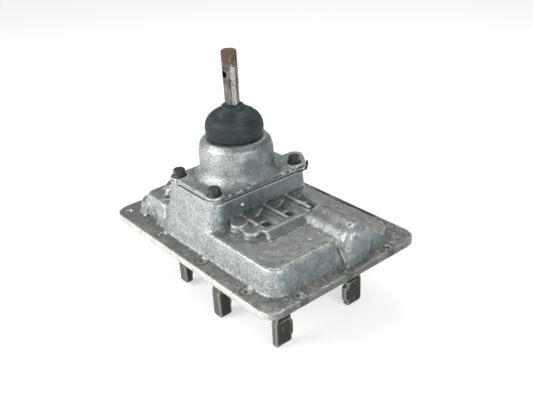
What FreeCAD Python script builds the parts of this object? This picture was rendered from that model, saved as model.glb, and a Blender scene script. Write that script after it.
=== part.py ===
import FreeCAD, Part
import math
import os
import re
import Sketcher
from FreeCAD import Vector

# Sizes that drive the whole assembly, in millimetres and degrees.
# Origin: centre of the case face under the flange. +X runs along the shift bars, +Z is up.
SIZES = {
    # Flange of the housing
    "flange_length": 360,
    "flange_width": 264,
    "flange_thickness": 10,
    "flange_corner": 22,
    "case_bolt_hole": 9,
    "row_hole_first": -161,
    "row_hole_pitch": 94,
    "row_hole_count": 4,
    "row_hole_inset": 15.5,
    "column_hole_pitch": 76.5,
    "column_hole_count": 3,
    "column_hole_inset": 9,
    # Outer walls of the housing
    "wall": 6,
    "draft": 13,
    "ledge_top": 30,
    "ledge_left": -160,
    "ledge_right": 163,
    "ledge_front": -108,
    "ledge_back": 103,
    "body_corner": 24,
    "plateau_top": 45,
    "plateau_front": -110,
    "plateau_back": 66,
    "edge_round": 5,
    "pod_top": 44,
    "pod_top_left": -137,
    "pod_top_front": -97,
    "pod_top_back": 58,
    "pod_top_corner": 12,
    "pod_back": 68,
    "scallop_radius": 21,
    "scallop_x": -114,
    "scallop_y": -121.5,
    "scallop_top": 42,
    "roof_left": -132,
    "roof_middle": -103,
    "roof_middle_height": 60,
    "roof_front": -76,
    "roof_back": 50,
    # Turret under the lever tower
    "tower_x": -24,
    "tower_y": -12,
    "turret_half_length": 53,
    "turret_half_width": 78.5,
    "turret_top": 80,
    "turret_corner": 12,
    "turret_foot_left": 10,
    "turret_foot_right": 8,
    "turret_foot_front": 20.5,
    "turret_foot_back": 8,
    "turret_foot_corner": 22,
    "turret_opening_half_length": 43,
    "turret_opening_half_width": 55,
    "turret_room_half_length": 44,
    "turret_room_half_width": 71,
    "turret_room_top": 55,
    # Shift bars
    "bar_diameter": 16,
    "bar_pitch": 39.5,
    "bar_height": 36,
    "bar_left": -122,
    "short_bar_right": 80,
    "long_bar_right": 151,
    "bar_fit": 0.04,
    "bar_bevel": 1,
    "bar_travel_gap": 1.6,
    "bar_boss_radius": 12.6,
    "bar_boss_left": 28,
    "bar_boss_right": 90,
    "bar_end_boss_radius": 11.5,
    "bar_end_boss_left": -141,
    "web_thickness": 22,
    "web_margin": 18,
    "left_web_x": -117,
    "middle_web_left": 34,
    "middle_web_right": 64,
    "middle_web_bottom": 7,
    "end_web_x": 86,
    "long_bar_web_left": 148,
    "web_bottom": 22,
    # Ribs, cross bar and bosses on the plateau
    "rib_thickness": 4.5,
    "rib_top": 55,
    "well_left": 30,
    "well_step": 48,
    "well_right": 79.5,
    "well_shallow": 41,
    "well_deep": 33,
    "well_floor": 6,
    "last_well_pitch": 35,
    "cross_bar_left": 80,
    "cross_bar_flat": 9,
    "cross_bar_run": 10,
    "cross_bar_front": -58,
    "cross_bar_back": 18,
    "twin_boss_radius": 11.5,
    "twin_boss_near_x": 73,
    "twin_boss_far_x": 46,
    "twin_boss_y": -67,
    "port_x": -97,
    "port_y": -85,
    "port_boss_radius": 8.5,
    "port_boss_top": 46,
    "port_hole": 11,
    "nub_x": -106,
    "nub_y": -75,
    "nub_radius": 7,
    "nub_top": 52,
    # Hump over the long bar
    "hump_radius": 26,
    "hump_wall": 6,
    "hump_left": 92,
    "hump_right": 171,
    "hump_end_round": 11,
    # Lever motion
    "pivot_height": 112,
    "finger_reach": 57,
    "shift_angle": 10,
    "gate_pitch": 11,
    # Tower
    "gasket_thickness": 0.8,
    "tower_flange_half_length": 52.5,
    "tower_flange_half_width": 76,
    "tower_flange_thickness": 9,
    "tower_plate_thickness": 6.5,
    "tower_ear_radius": 13.2,
    "tower_lug_left": 6,
    "tower_lug_reach": 101,
    "tower_flange_corner": 14,
    "tower_bolt_spacing_x": 80.5,
    "tower_bolt_spacing_y": 137,
    "tower_bolt_diameter": 10,
    "tower_bolt_clearance": 1,
    "tower_bolt_depth": 21,
    "tapped_hole_gap": 0.1,
    "bolt_head_across": 14,
    "bolt_head_height": 9.5,
    "bolt_flange_radius": 10.5,
    "bolt_flange_height": 3.5,
    "bolt_shank_length": 27,
    "dome_radius": 51,
    "dome_foot_radius": 51.9,
    "dome_foot_height": 7,
    "dome_shoulder": 123,
    "dome_top": 146,
    "dome_top_radius": 33,
    "dome_neck_height": 6,
    "dome_shoulder_radius": 42,
    "dome_round_radius": 48.5,
    "dome_round_height": 133,
    "dome_wall": 7,
    "socket_wall": 8,
    "socket_bottom": 97,
    "socket_throat_radius": 14,
    "cup_bore_rise": 7,
    # Lever
    "ball_radius": 19,
    "ball_gap": 0.3,
    "shank_radius": 8.5,
    "rod_radius": 10.2,
    "rod_neck_radius": 9.9,
    "rod_top": 256,
    "rod_seat_bottom": 212,
    "rod_shoulder": 26,
    "rod_bevel": 1.2,
    "rod_cross_hole": 9,
    "rod_cross_hole_drop": 30,
    "finger_tip_radius": 6,
    "finger_neck": 9,
    "finger_width": 7,
    "finger_top": 76,
    "cross_pin_diameter": 8,
    "cross_pin_fit": 0.05,
    "cross_pin_length": 54,
    # Ball spring above the ball
    "cup_outer_radius": 25.5,
    "cup_hole_radius": 14.2,
    "cup_thickness": 4,
    "cup_height": 12.5,
    "ball_spring_wire": 3,
    "ball_spring_radius": 22.5,
    "ball_spring_turns": 2.5,
    "spring_gap": 0.1,
    "coil_steps": 16,
    "retainer_rise": 25,
    "retainer_thickness": 2,
    "retainer_hole_radius": 19.5,
    # Rubber boot
    "boot_radius": 39.4,
    "boot_lip_radius": 36,
    "boot_widest": 157,
    "boot_shoulder": 172,
    "boot_shoulder_radius": 32.5,
    "boot_crease": 182,
    "boot_crease_radius": 17.5,
    "boot_top": 188.5,
    "boot_wall": 3,
    "boot_gap": 0.3,
    # Forks
    "fork_hub_radius": 12.5,
    "fork_hub_length": 17,
    "fork_bar_fit": 0.02,
    "fork_neck_width": 20,
    "fork_neck_sink": 8,
    "fork_neck_edge": 1,
    "fork_gap_top": -12,
    "fork_gap_corner": 44,
    "fork_crown": 14,
    "fork_corner": 58,
    "fork_web": 5,
    "fork_rim": 4,
    "fork_leg_top": -46,
    "fork_leg_bevel": 2,
    "fork_pad_length": 22,
    "fork_pad_height": -64,
    "fork_pad_width": 8,
    "fork_pad_reach": 4,
    "fork_1_thickness": 17,
    "fork_1_half_gap": 69,
    "fork_1_half_width": 81,
    "fork_1_leg_end": -82,
    "fork_1_trim": 0,
    "fork_2_thickness": 17,
    "fork_2_half_gap": 71,
    "fork_2_half_width": 91,
    "fork_2_leg_end": -87,
    "fork_2_trim": 10,
    "fork_3_thickness": 10,
    "fork_3_half_gap": 51,
    "fork_3_half_width": 77.5,
    "fork_3_leg_end": -85,
    "fork_3_trim": 0,
    "fork_1_x": -68,
    "fork_1_hub_x": -55,
    "fork_2_x": 28,
    "fork_2_hub_x": 6,
    "fork_3_x": 133.5,
    "fork_3_hub_x": 126,
    # Shift gates
    "gate_length": 28,
    "gate_hub_radius": 11,
    "gate_top": 62,
    "gate_bottom": 50,
    "gate_thickness": 8,
    "gate_slot_gap": 0.3,
    "gate_slot_relief": 1.3,
    # Detents and interlock
    "detent_x": 54,
    "ball_diameter": 8,
    "notch_depth": 1.6,
    "ball_lift": 0.2,
    "ball_bore_gap": 0.1,
    "detent_wire": 1,
    "detent_spring_turns": 5,
    "detent_spring_radius": 3.2,
    "detent_plug_diameter": 12,
    "detent_plug_length": 5,
    "interlock_x": 42,
    "interlock_diameter": 6,
    "interlock_gap": 0.15,
    "cross_interlock_diameter": 5,
    "bore_plug_length": 6,
    "cup_plug_length": 5,
    "cup_plug_diameter": 19,
    # Roll pins through forks, gates and bars
    "lock_pin_diameter": 5,
    "lock_pin_length": 22,
    "pin_gap": 0.03,
    "plug_gap": 0.02,
}

doc = FreeCAD.newDocument("ShiftBarHousing")
sheet = doc.addObject("Spreadsheet::Sheet", "Size")
for row, (alias, amount) in enumerate(SIZES.items(), start=1):
    sheet.set(f"A{row}", alias)
    sheet.set(f"B{row}", str(amount))
    sheet.setAlias(f"B{row}", alias)
doc.recompute()


def sized(formula):
    """A formula in plain size names, written so that any object can read the sheet."""
    return re.sub(r"[a-z]\w*", lambda word: "Size." + word[0] if word[0] in SIZES else word[0], str(formula))


def number(formula):
    """The value of a formula of size names."""
    return float(sheet.evalExpression(sized(formula)))


class Piece:
    """A sub-part made as one body: sketches on its own planes, then features on the sketches."""

    def __init__(self, label, x="0", y="0", z="0"):
        self.body = doc.addObject("PartDesign::Body", label)
        self.body.Label = label
        for axis, place in (("x", x), ("y", y), ("z", z)):
            self.body.setExpression(f"Placement.Base.{axis}", sized(place))
        self.sketches = 0

    def plane(self, role):
        """One of the body's own origin planes or axes."""
        return next(item for item in self.body.Origin.OriginFeatures if item.Role == role)

    def sketch(self, role, offset="0"):
        """A sketch on an origin plane, moved along that plane's normal by a formula."""
        self.sketches += 1
        item = self.body.newObject("Sketcher::SketchObject", f"{self.body.Name}_sketch{self.sketches}")
        item.AttachmentSupport = [(self.plane(role), "")]
        item.MapMode = "FlatFace"
        item.setExpression("AttachmentOffset.Base.z", sized(offset))
        doc.recompute()
        return item

    def feature(self, kind, sketch, **settings):
        """Add a feature and compare volumes, so that one that changes nothing is found at once."""
        before = self.body.Shape.Volume if self.body.Tip else 0
        item = self.body.newObject(f"PartDesign::{kind}", f"{self.body.Name}_{kind}")
        item.Profile = sketch
        sketch.Visibility = False
        for name, value in settings.items():
            if isinstance(value, str) and name in ("Length", "Angle", "TaperAngle", "Radius"):
                item.setExpression(name, sized(value))
            else:
                setattr(item, name, value)
        doc.recompute()
        change = self.body.Shape.Volume - before
        if "Invalid" in item.State or abs(change) < 1e-3:
            raise RuntimeError(f"{item.Name} changes nothing: {item.State} {change:.3f}")
        return item

    def pad(self, sketch, length, **settings):
        return self.feature("Pad", sketch, Length=length, **settings)

    def pocket(self, sketch, length, **settings):
        return self.feature("Pocket", sketch, Length=length, **settings)

    def loft(self, start, end):
        """A solid between two outlines with the same number of sides."""
        return self.feature("AdditiveLoft", start, Sections=[end], Ruled=True)

    def turn(self, sketch, kind="Revolution"):
        """A full turn about the sketch's own vertical axis."""
        return self.feature(kind, sketch, ReferenceAxis=(sketch, ["V_Axis"]), Angle="360")

    def round_edges(self, radius, chosen, kind="Fillet"):
        """Round or bevel the edges of the last shape for which chosen(edge) is true."""
        base = self.body.Tip
        names = [f"Edge{i}" for i, edge in enumerate(base.Shape.Edges, start=1) if chosen(edge)]
        if not names:
            raise RuntimeError(f"{self.body.Name}: no edge to round")
        item = self.body.newObject(f"PartDesign::{kind}", f"{self.body.Name}_{kind}")
        item.Base = (base, names)
        item.setExpression("Radius" if kind == "Fillet" else "Size", sized(radius))
        doc.recompute()
        if "Invalid" in item.State:
            raise RuntimeError(f"{item.Name} failed on {len(names)} edges")
        return item


def fix(sketch, kind, geometry, point, formula):
    """A horizontal or vertical place, or a radius, bound to a formula."""
    if kind == "Radius":
        index = sketch.addConstraint(Sketcher.Constraint(kind, geometry, number(formula)))
    else:
        index = sketch.addConstraint(Sketcher.Constraint(kind, geometry, point, number(formula)))
    sketch.setExpression(f"Constraints[{index}]", sized(formula))


def circle(sketch, across, up, radius):
    centre = Vector(number(across), number(up), 0)
    index = sketch.addGeometry(Part.Circle(centre, Vector(0, 0, 1), number(radius)))
    fix(sketch, "DistanceX", index, 3, across)
    fix(sketch, "DistanceY", index, 3, up)
    fix(sketch, "Radius", index, 0, radius)


def polygon(sketch, corners):
    """A closed outline of straight lines through corners given as pairs of formulas."""
    points = [Vector(number(across), number(up), 0) for across, up in corners]
    count = len(points)
    first = sketch.GeometryCount
    for i in range(count):
        sketch.addGeometry(Part.LineSegment(points[i], points[(i + 1) % count]))
    for i in range(count):
        following = first + (i + 1) % count
        sketch.addConstraint(Sketcher.Constraint("Coincident", first + i, 2, following, 1))
        fix(sketch, "DistanceX", first + i, 1, corners[i][0])
        fix(sketch, "DistanceY", first + i, 1, corners[i][1])


def rectangle(sketch, left, right, low, high):
    polygon(sketch, ((left, low), (right, low), (right, high), (left, high)))


def rounded_rectangle(sketch, left, right, low, high, radius):
    """Four lines joined by four tangent arcs of one radius."""
    x0, x1, y0, y1, r = (number(item) for item in (left, right, low, high, radius))
    first = sketch.GeometryCount
    centres = ((x1 - r, y0 + r), (x1 - r, y1 - r), (x0 + r, y1 - r), (x0 + r, y0 + r))
    lines = (((x0 + r, y0), (x1 - r, y0)), ((x1, y0 + r), (x1, y1 - r)),
             ((x1 - r, y1), (x0 + r, y1)), ((x0, y1 - r), (x0, y0 + r)))
    for side, ((start, end), centre) in enumerate(zip(lines, centres)):
        sketch.addGeometry(Part.LineSegment(Vector(*start, 0), Vector(*end, 0)))
        round_part = Part.Circle(Vector(*centre, 0), Vector(0, 0, 1), r)
        turn = math.pi / 2
        sketch.addGeometry(Part.ArcOfCircle(round_part, (side - 1) * turn, side * turn))
    for side in range(4):
        line = first + 2 * side
        arc = line + 1
        following = first + (2 * side + 2) % 8
        sketch.addConstraint(Sketcher.Constraint("Tangent", line, 2, arc, 1))
        sketch.addConstraint(Sketcher.Constraint("Tangent", arc, 2, following, 1))
        sketch.addConstraint(Sketcher.Constraint("Vertical" if side % 2 else "Horizontal", line))
        if side:
            sketch.addConstraint(Sketcher.Constraint("Equal", first + 1, arc))
    fix(sketch, "DistanceY", first, 1, low)
    fix(sketch, "DistanceX", first + 2, 1, right)
    fix(sketch, "DistanceY", first + 4, 1, high)
    fix(sketch, "DistanceX", first + 6, 1, left)
    fix(sketch, "Radius", first + 1, 0, radius)


def at_height(edge, height):
    """True for an edge that lies wholly at one height."""
    box = edge.BoundBox
    return abs(box.ZMin - height) < 1e-3 and abs(box.ZMax - height) < 1e-3


# Places of the three shift bars, from the front of the housing to the back
BAR_Y = {1: "tower_y - bar_pitch", 2: "tower_y", 3: "tower_y + bar_pitch"}
BAR_RIGHT = {1: "short_bar_right", 2: "short_bar_right", 3: "long_bar_right"}
TRAVEL = "(finger_reach * sin(shift_angle))"


def taper(rise, angle):
    """How far a drafted wall moves sideways over a rise."""
    return f"({rise}) * tan({angle})"


def housing_walls(piece):
    """Flange, ledge, plateau and turret, each a drafted block with round corners."""
    flange = piece.sketch("XY_Plane")
    rounded_rectangle(flange, "-flange_length / 2", "flange_length / 2",
                      "-flange_width / 2", "flange_width / 2", "flange_corner")
    piece.pad(flange, "flange_thickness")

    ledge = piece.sketch("XY_Plane", "flange_thickness")
    rounded_rectangle(ledge, "ledge_left", "ledge_right", "ledge_front", "ledge_back", "body_corner")
    piece.pad(ledge, "ledge_top - flange_thickness", TaperAngle="-draft")
    piece.round_edges("edge_round", lambda edge: at_height(edge, number("ledge_top")))

    plateau = piece.sketch("XY_Plane", "flange_thickness")
    rounded_rectangle(plateau, "tower_x", "ledge_right", "plateau_front", "plateau_back", "body_corner")
    piece.pad(plateau, "plateau_top - flange_thickness", TaperAngle="-draft")
    piece.round_edges("edge_round", lambda edge: at_height(edge, number("plateau_top")))

    pod = piece.sketch("XY_Plane", "flange_thickness")
    rounded_rectangle(pod, "ledge_left", "tower_x", "ledge_front", "pod_back", "body_corner")
    top = piece.sketch("XY_Plane", "pod_top")
    rounded_rectangle(top, "pod_top_left", "tower_x", "pod_top_front", "pod_top_back", "pod_top_corner")
    piece.loft(pod, top)
    piece.round_edges("edge_round - 1", lambda edge: at_height(edge, number("pod_top"))
                      and edge.BoundBox.XMin < number("roof_left"))
    scallop = piece.sketch("XY_Plane", "flange_thickness")
    circle(scallop, "scallop_x", "scallop_y", "scallop_radius")
    piece.pocket(scallop, "scallop_top - flange_thickness", Reversed=True)

    foot = piece.sketch("XY_Plane", "flange_thickness")
    rounded_rectangle(foot, "tower_x - turret_half_length - turret_foot_left",
                      "tower_x + turret_half_length + turret_foot_right",
                      "tower_y - turret_half_width - turret_foot_front",
                      "tower_y + turret_half_width + turret_foot_back", "turret_foot_corner")
    top = piece.sketch("XY_Plane", "turret_top")
    rounded_rectangle(top, "tower_x - turret_half_length", "tower_x + turret_half_length",
                      "tower_y - turret_half_width", "tower_y + turret_half_width", "turret_corner")
    piece.loft(foot, top)

    roof = piece.sketch("XZ_Plane", "-roof_back")
    polygon(roof, (("roof_left", "pod_top - 1"), ("roof_middle", "roof_middle_height"),
                   ("tower_x - turret_half_length", "turret_top - 2"), ("tower_x", "turret_top - 2"),
                   ("tower_x", "pod_top - 1")))
    piece.pad(roof, "roof_back - roof_front")


def housing_outside(piece):
    """Bosses, ribs, cross bar and hump that stand on the plateau."""
    bosses = piece.sketch("YZ_Plane", "bar_boss_left")
    for place in BAR_Y.values():
        circle(bosses, place, "bar_height", "bar_boss_radius")
    piece.pad(bosses, "bar_boss_right - bar_boss_left")

    ends = piece.sketch("YZ_Plane", "bar_end_boss_left")
    for place in BAR_Y.values():
        circle(ends, place, "bar_height", "bar_end_boss_radius")
    piece.pad(ends, "left_web_x - bar_end_boss_left")

    ribs = piece.sketch("YZ_Plane", "well_left - 2")
    for place in BAR_Y.values():
        rectangle(ribs, f"{place} - rib_thickness / 2", f"{place} + rib_thickness / 2",
                  "bar_height", "rib_top")
    piece.pad(ribs, "cross_bar_left + 3 - well_left")

    bar = piece.sketch("XZ_Plane", "-cross_bar_back")
    polygon(bar, (("cross_bar_left", "bar_height"), ("cross_bar_left", "rib_top"),
                  ("cross_bar_left + cross_bar_flat", "rib_top"),
                  ("cross_bar_left + cross_bar_flat + cross_bar_run", "plateau_top - 1"),
                  ("cross_bar_left + cross_bar_flat + cross_bar_run", "bar_height")))
    piece.pad(bar, "cross_bar_back - cross_bar_front")

    twins = piece.sketch("XY_Plane", "bar_height")
    circle(twins, "twin_boss_near_x", "twin_boss_y", "twin_boss_radius")
    piece.pad(twins, "rib_top - bar_height")
    twins = piece.sketch("XY_Plane", "bar_height")
    circle(twins, "twin_boss_far_x", "twin_boss_y", "twin_boss_radius")
    piece.pad(twins, "rib_top - bar_height")
    bridge = piece.sketch("XY_Plane", "bar_height")
    rectangle(bridge, "twin_boss_far_x", "twin_boss_near_x", "twin_boss_y - twin_boss_radius / 2",
              f"{BAR_Y[1]}")
    piece.pad(bridge, "rib_top - 3 - bar_height")

    port = piece.sketch("XY_Plane", "ledge_top")
    circle(port, "port_x", "port_y", "port_boss_radius")
    piece.pad(port, "port_boss_top - ledge_top")
    nub = piece.sketch("XY_Plane", "ledge_top")
    circle(nub, "nub_x", "nub_y", "nub_radius")
    piece.pad(nub, "nub_top - ledge_top")

    hump = piece.sketch("YZ_Plane", "hump_left")
    half_dome(hump, BAR_Y[3], "bar_height", "hump_radius", "flange_thickness - 1")
    piece.pad(hump, "hump_right - hump_left")
    right = number("hump_right")
    piece.round_edges("hump_end_round", lambda edge: abs(edge.BoundBox.XMin - right) < 1e-3
                      and edge.BoundBox.ZMax > number("flange_thickness + 1"))


def half_dome(sketch, across, up, radius, foot):
    """A half circle on top of two upright sides that end at a foot."""
    y, z, r, low = (number(item) for item in (across, up, radius, foot))
    first = sketch.GeometryCount
    arc = Part.ArcOfCircle(Part.Circle(Vector(y, z, 0), Vector(0, 0, 1), r), 0, math.pi)
    sketch.addGeometry(arc)
    sketch.addGeometry(Part.LineSegment(Vector(y - r, z, 0), Vector(y - r, low, 0)))
    sketch.addGeometry(Part.LineSegment(Vector(y - r, low, 0), Vector(y + r, low, 0)))
    sketch.addGeometry(Part.LineSegment(Vector(y + r, low, 0), Vector(y + r, z, 0)))
    sketch.addConstraint(Sketcher.Constraint("Tangent", first, 2, first + 1, 1))
    sketch.addConstraint(Sketcher.Constraint("Coincident", first + 1, 2, first + 2, 1))
    sketch.addConstraint(Sketcher.Constraint("Coincident", first + 2, 2, first + 3, 1))
    sketch.addConstraint(Sketcher.Constraint("Tangent", first + 3, 2, first, 1))
    sketch.addConstraint(Sketcher.Constraint("Vertical", first + 1))
    sketch.addConstraint(Sketcher.Constraint("Horizontal", first + 2))
    fix(sketch, "DistanceX", first, 3, across)
    fix(sketch, "DistanceY", first, 3, up)
    fix(sketch, "Radius", first, 0, radius)
    fix(sketch, "DistanceY", first + 1, 2, foot)


def housing_inside(piece):
    """Hollow the casting from below, then put back the webs that carry the bars."""
    low = piece.sketch("XY_Plane")
    rounded_rectangle(low, "ledge_left + wall + 3", "ledge_right - wall - 3", "ledge_front + wall + 3",
                      "ledge_back - wall - 3", "body_corner - wall")
    piece.pocket(low, "ledge_top - wall", Reversed=True, TaperAngle="-draft / 2")

    high = piece.sketch("XY_Plane")
    rounded_rectangle(high, "pod_top_left + wall", "ledge_right - 2 * wall - 4",
                      "ledge_front + 2 * wall + 3", "plateau_back - wall - 4", "body_corner - wall")
    piece.pocket(high, "plateau_top - wall", Reversed=True)

    room = piece.sketch("XY_Plane")
    rounded_rectangle(room, "tower_x - turret_room_half_length", "tower_x + turret_room_half_length",
                      "tower_y - turret_room_half_width", "tower_y + turret_room_half_width",
                      "turret_corner")
    piece.pocket(room, "turret_room_top", Reversed=True)

    opening = piece.sketch("XY_Plane")
    rounded_rectangle(opening, "tower_x - turret_opening_half_length",
                      "tower_x + turret_opening_half_length",
                      "tower_y - turret_opening_half_width",
                      "tower_y + turret_opening_half_width", "turret_corner")
    piece.pocket(opening, "turret_top + 1", Reversed=True)

    loft = piece.sketch("XZ_Plane", "-(roof_back - wall)")
    polygon(loft, (("roof_left + 2 * wall", "plateau_top - wall - 1"),
                   ("roof_middle + wall / 2", "roof_middle_height - wall - 1"),
                   ("tower_x - turret_half_length + wall", "turret_top - 2 * wall"),
                   ("tower_x", "turret_top - 2 * wall"), ("tower_x", "plateau_top - wall - 1")))
    piece.pocket(loft, "roof_back - roof_front - 2 * wall", Reversed=True)

    hump = piece.sketch("YZ_Plane", "hump_left + hump_wall")
    half_dome(hump, BAR_Y[3], "bar_height", "hump_radius - hump_wall", "-1")
    piece.pocket(hump, "hump_right - hump_left - 2 * hump_wall - hump_end_round / 2", Reversed=True)

    webs = (("left_web_x - web_thickness / 2", "web_thickness", BAR_Y[1], BAR_Y[3], "web_bottom"),
            ("middle_web_left", "middle_web_right - middle_web_left", BAR_Y[1], BAR_Y[3],
             "middle_web_bottom"),
            ("middle_web_right - 1", "cross_bar_left + 2 - middle_web_right", BAR_Y[1],
             f"{BAR_Y[3]} + last_well_pitch / 2 - 4", "well_deep - well_floor"),
            ("middle_web_left", "middle_web_right - middle_web_left", BAR_Y[3],
             f"{BAR_Y[3]} + last_well_pitch / 2 - 4", "well_deep - well_floor"),
            ("end_web_x - web_thickness / 2", "web_thickness - 6", BAR_Y[1], BAR_Y[2], "web_bottom"),
            ("long_bar_web_left", "hump_right - hump_wall - 1 - long_bar_web_left", BAR_Y[3], BAR_Y[3],
             "web_bottom"))
    for start, thickness, front, back, bottom in webs:
        web = piece.sketch("YZ_Plane", start)
        rectangle(web, f"{front} - web_margin", f"{back} + web_margin", bottom, "bar_height + 5")
        piece.pad(web, thickness)


def well(sketch, near, far, floor):
    """Space between two bar bosses: a flat floor, round boss sides and upright rib sides."""
    a, b, low, top, zc, radius, half = (number(item) for item in (
        near, far, floor, "rib_top + 1", "bar_height", "bar_boss_radius", "rib_thickness / 2"))
    lean = math.acos(half / radius)
    meet = zc + radius * math.sin(lean)
    first = sketch.GeometryCount

    def line(start, end):
        sketch.addGeometry(Part.LineSegment(Vector(*start, 0), Vector(*end, 0)))

    line((a + radius, low), (b - radius, low))
    line((b - radius, low), (b - radius, zc))
    far_round = Part.Circle(Vector(b, zc, 0), Vector(0, 0, 1), radius)
    sketch.addGeometry(Part.ArcOfCircle(far_round, math.pi - lean, math.pi))
    line((b - half, meet), (b - half, top))
    line((b - half, top), (a + half, top))
    line((a + half, top), (a + half, meet))
    near_round = Part.Circle(Vector(a, zc, 0), Vector(0, 0, 1), radius)
    sketch.addGeometry(Part.ArcOfCircle(near_round, 0, lean))
    line((a + radius, zc), (a + radius, low))
    joints = ((0, 2, 1, 1), (1, 2, 2, 2), (2, 1, 3, 1), (3, 2, 4, 1), (4, 2, 5, 1), (5, 2, 6, 2),
              (6, 1, 7, 1), (7, 2, 0, 1))
    for one, point, other, end_point in joints:
        sketch.addConstraint(Sketcher.Constraint("Coincident", first + one, point, first + other, end_point))
    for level in (0, 4):
        sketch.addConstraint(Sketcher.Constraint("Horizontal", first + level))
    for upright in (1, 3, 5, 7):
        sketch.addConstraint(Sketcher.Constraint("Vertical", first + upright))
    for arc, place in ((2, far), (6, near)):
        fix(sketch, "DistanceX", first + arc, 3, place)
        fix(sketch, "DistanceY", first + arc, 3, "bar_height")
        fix(sketch, "Radius", first + arc, 0, "bar_boss_radius")
    fix(sketch, "DistanceY", first, 1, floor)
    fix(sketch, "DistanceX", first + 3, 1, f"{far} - rib_thickness / 2")
    fix(sketch, "DistanceX", first + 5, 2, f"{near} + rib_thickness / 2")
    fix(sketch, "DistanceY", first + 4, 1, "rib_top + 1")
    fix(sketch, "DistanceY", first + 1, 2, "bar_height")
    fix(sketch, "DistanceY", first + 7, 1, "bar_height")


def housing_wells(piece):
    """Deep wells between the bar bosses, shallower over the interlock's bore."""
    pairs = ((BAR_Y[1], BAR_Y[2]), (BAR_Y[2], BAR_Y[3]), (BAR_Y[3], f"{BAR_Y[3]} + last_well_pitch"))
    for floor, left, right in (("well_deep", "well_step", "well_right"),
                               ("well_shallow", "well_left", "well_step")):
        outline = piece.sketch("YZ_Plane", left)
        for near, far in pairs:
            well(outline, near, far, floor)
        piece.pocket(outline, f"{right} - {left}", Reversed=True)


def housing_holes(piece):
    """Bar bores, hub clearances, detent and interlock bores, bolt holes and the port."""
    for index, place in BAR_Y.items():
        bore = piece.sketch("YZ_Plane", "bar_end_boss_left - 1")
        circle(bore, place, "bar_height", "bar_diameter / 2 + bar_fit")
        piece.pocket(bore, f"{BAR_RIGHT[index]} + {TRAVEL} + bar_travel_gap + 1 - bar_end_boss_left",
                     Reversed=True)
    plugs = piece.sketch("YZ_Plane", "bar_end_boss_left")
    for place in BAR_Y.values():
        circle(plugs, place, "bar_height", "cup_plug_diameter / 2")
    piece.pocket(plugs, "cup_plug_length", Reversed=True)

    hub = piece.sketch("YZ_Plane", "tower_x")
    circle(hub, BAR_Y[2], "bar_height", "fork_hub_radius + 1.5")
    piece.pocket(hub, f"fork_2_hub_x - tower_x + fork_hub_length / 2 + {TRAVEL} + 1.5", Reversed=True)

    detents = piece.sketch("XY_Plane")
    for place in BAR_Y.values():
        circle(detents, "detent_x", place, "ball_diameter / 2 + ball_bore_gap")
    piece.pocket(detents, "bar_height", Reversed=True)
    threads = piece.sketch("XY_Plane")
    for place in BAR_Y.values():
        circle(threads, "detent_x", place, "detent_plug_diameter / 2 + tapped_hole_gap")
    piece.pocket(threads, "middle_web_bottom + detent_plug_length", Reversed=True)

    lock = piece.sketch("XZ_Plane", f"-({BAR_Y[1]} - web_margin - 1)")
    circle(lock, "interlock_x", "bar_height", "interlock_diameter / 2 + ball_bore_gap")
    piece.pocket(lock, "2 * bar_pitch + web_margin + 1", Reversed=False)

    rows = piece.sketch("XY_Plane")
    for side in ("-", ""):
        for i in range(int(number("row_hole_count"))):
            circle(rows, f"row_hole_first + {i} * row_hole_pitch",
                   f"{side}(flange_width / 2 - row_hole_inset)", "case_bolt_hole / 2")
        for i in range(int(number("column_hole_count"))):
            circle(rows, f"{side}(flange_length / 2 - column_hole_inset)",
                   f"({i} - (column_hole_count - 1) / 2) * column_hole_pitch", "case_bolt_hole / 2")
    piece.pocket(rows, "flange_thickness", Reversed=True)

    taps = piece.sketch("XY_Plane", "turret_top")
    tower_bolt_circles(taps, "tower_bolt_diameter / 2 + tapped_hole_gap")
    piece.pocket(taps, "tower_bolt_depth")

    port = piece.sketch("XY_Plane", "port_boss_top")
    circle(port, "port_x", "port_y", "port_hole / 2")
    piece.pocket(port, "port_boss_top - ledge_top")


def tower_bolt_circles(sketch, radius):
    """Four circles at the tower's bolts."""
    for side_x in ("-", "+"):
        for side_y in ("-", "+"):
            circle(sketch, f"tower_x {side_x} tower_bolt_spacing_x / 2",
                   f"tower_y {side_y} tower_bolt_spacing_y / 2", radius)


def make_housing():
    piece = Piece("shift_bar_housing")
    housing_walls(piece)
    housing_outside(piece)
    housing_inside(piece)
    housing_wells(piece)
    housing_holes(piece)
    return piece.body


FLANGE_TOP = "(turret_top + gasket_thickness + tower_flange_thickness)"


def tower_outline(sketch):
    """Outline shared by the tower's flange and its gasket."""
    rounded_rectangle(sketch, "tower_x - tower_flange_half_length",
                      "tower_x + tower_flange_half_length",
                      "tower_y - tower_flange_half_width",
                      "tower_y + tower_flange_half_width", "tower_flange_corner")


def make_gasket():
    piece = Piece("tower_gasket", z="turret_top")
    sheet_outline = piece.sketch("XY_Plane")
    tower_outline(sheet_outline)
    piece.pad(sheet_outline, "gasket_thickness")
    holes = piece.sketch("XY_Plane")
    rounded_rectangle(holes, "tower_x - turret_opening_half_length",
                      "tower_x + turret_opening_half_length",
                      "tower_y - turret_opening_half_width",
                      "tower_y + turret_opening_half_width", "turret_corner")
    tower_bolt_circles(holes, "(tower_bolt_diameter + tower_bolt_clearance) / 2")
    piece.pocket(holes, "gasket_thickness", Reversed=True)
    return piece.body


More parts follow.
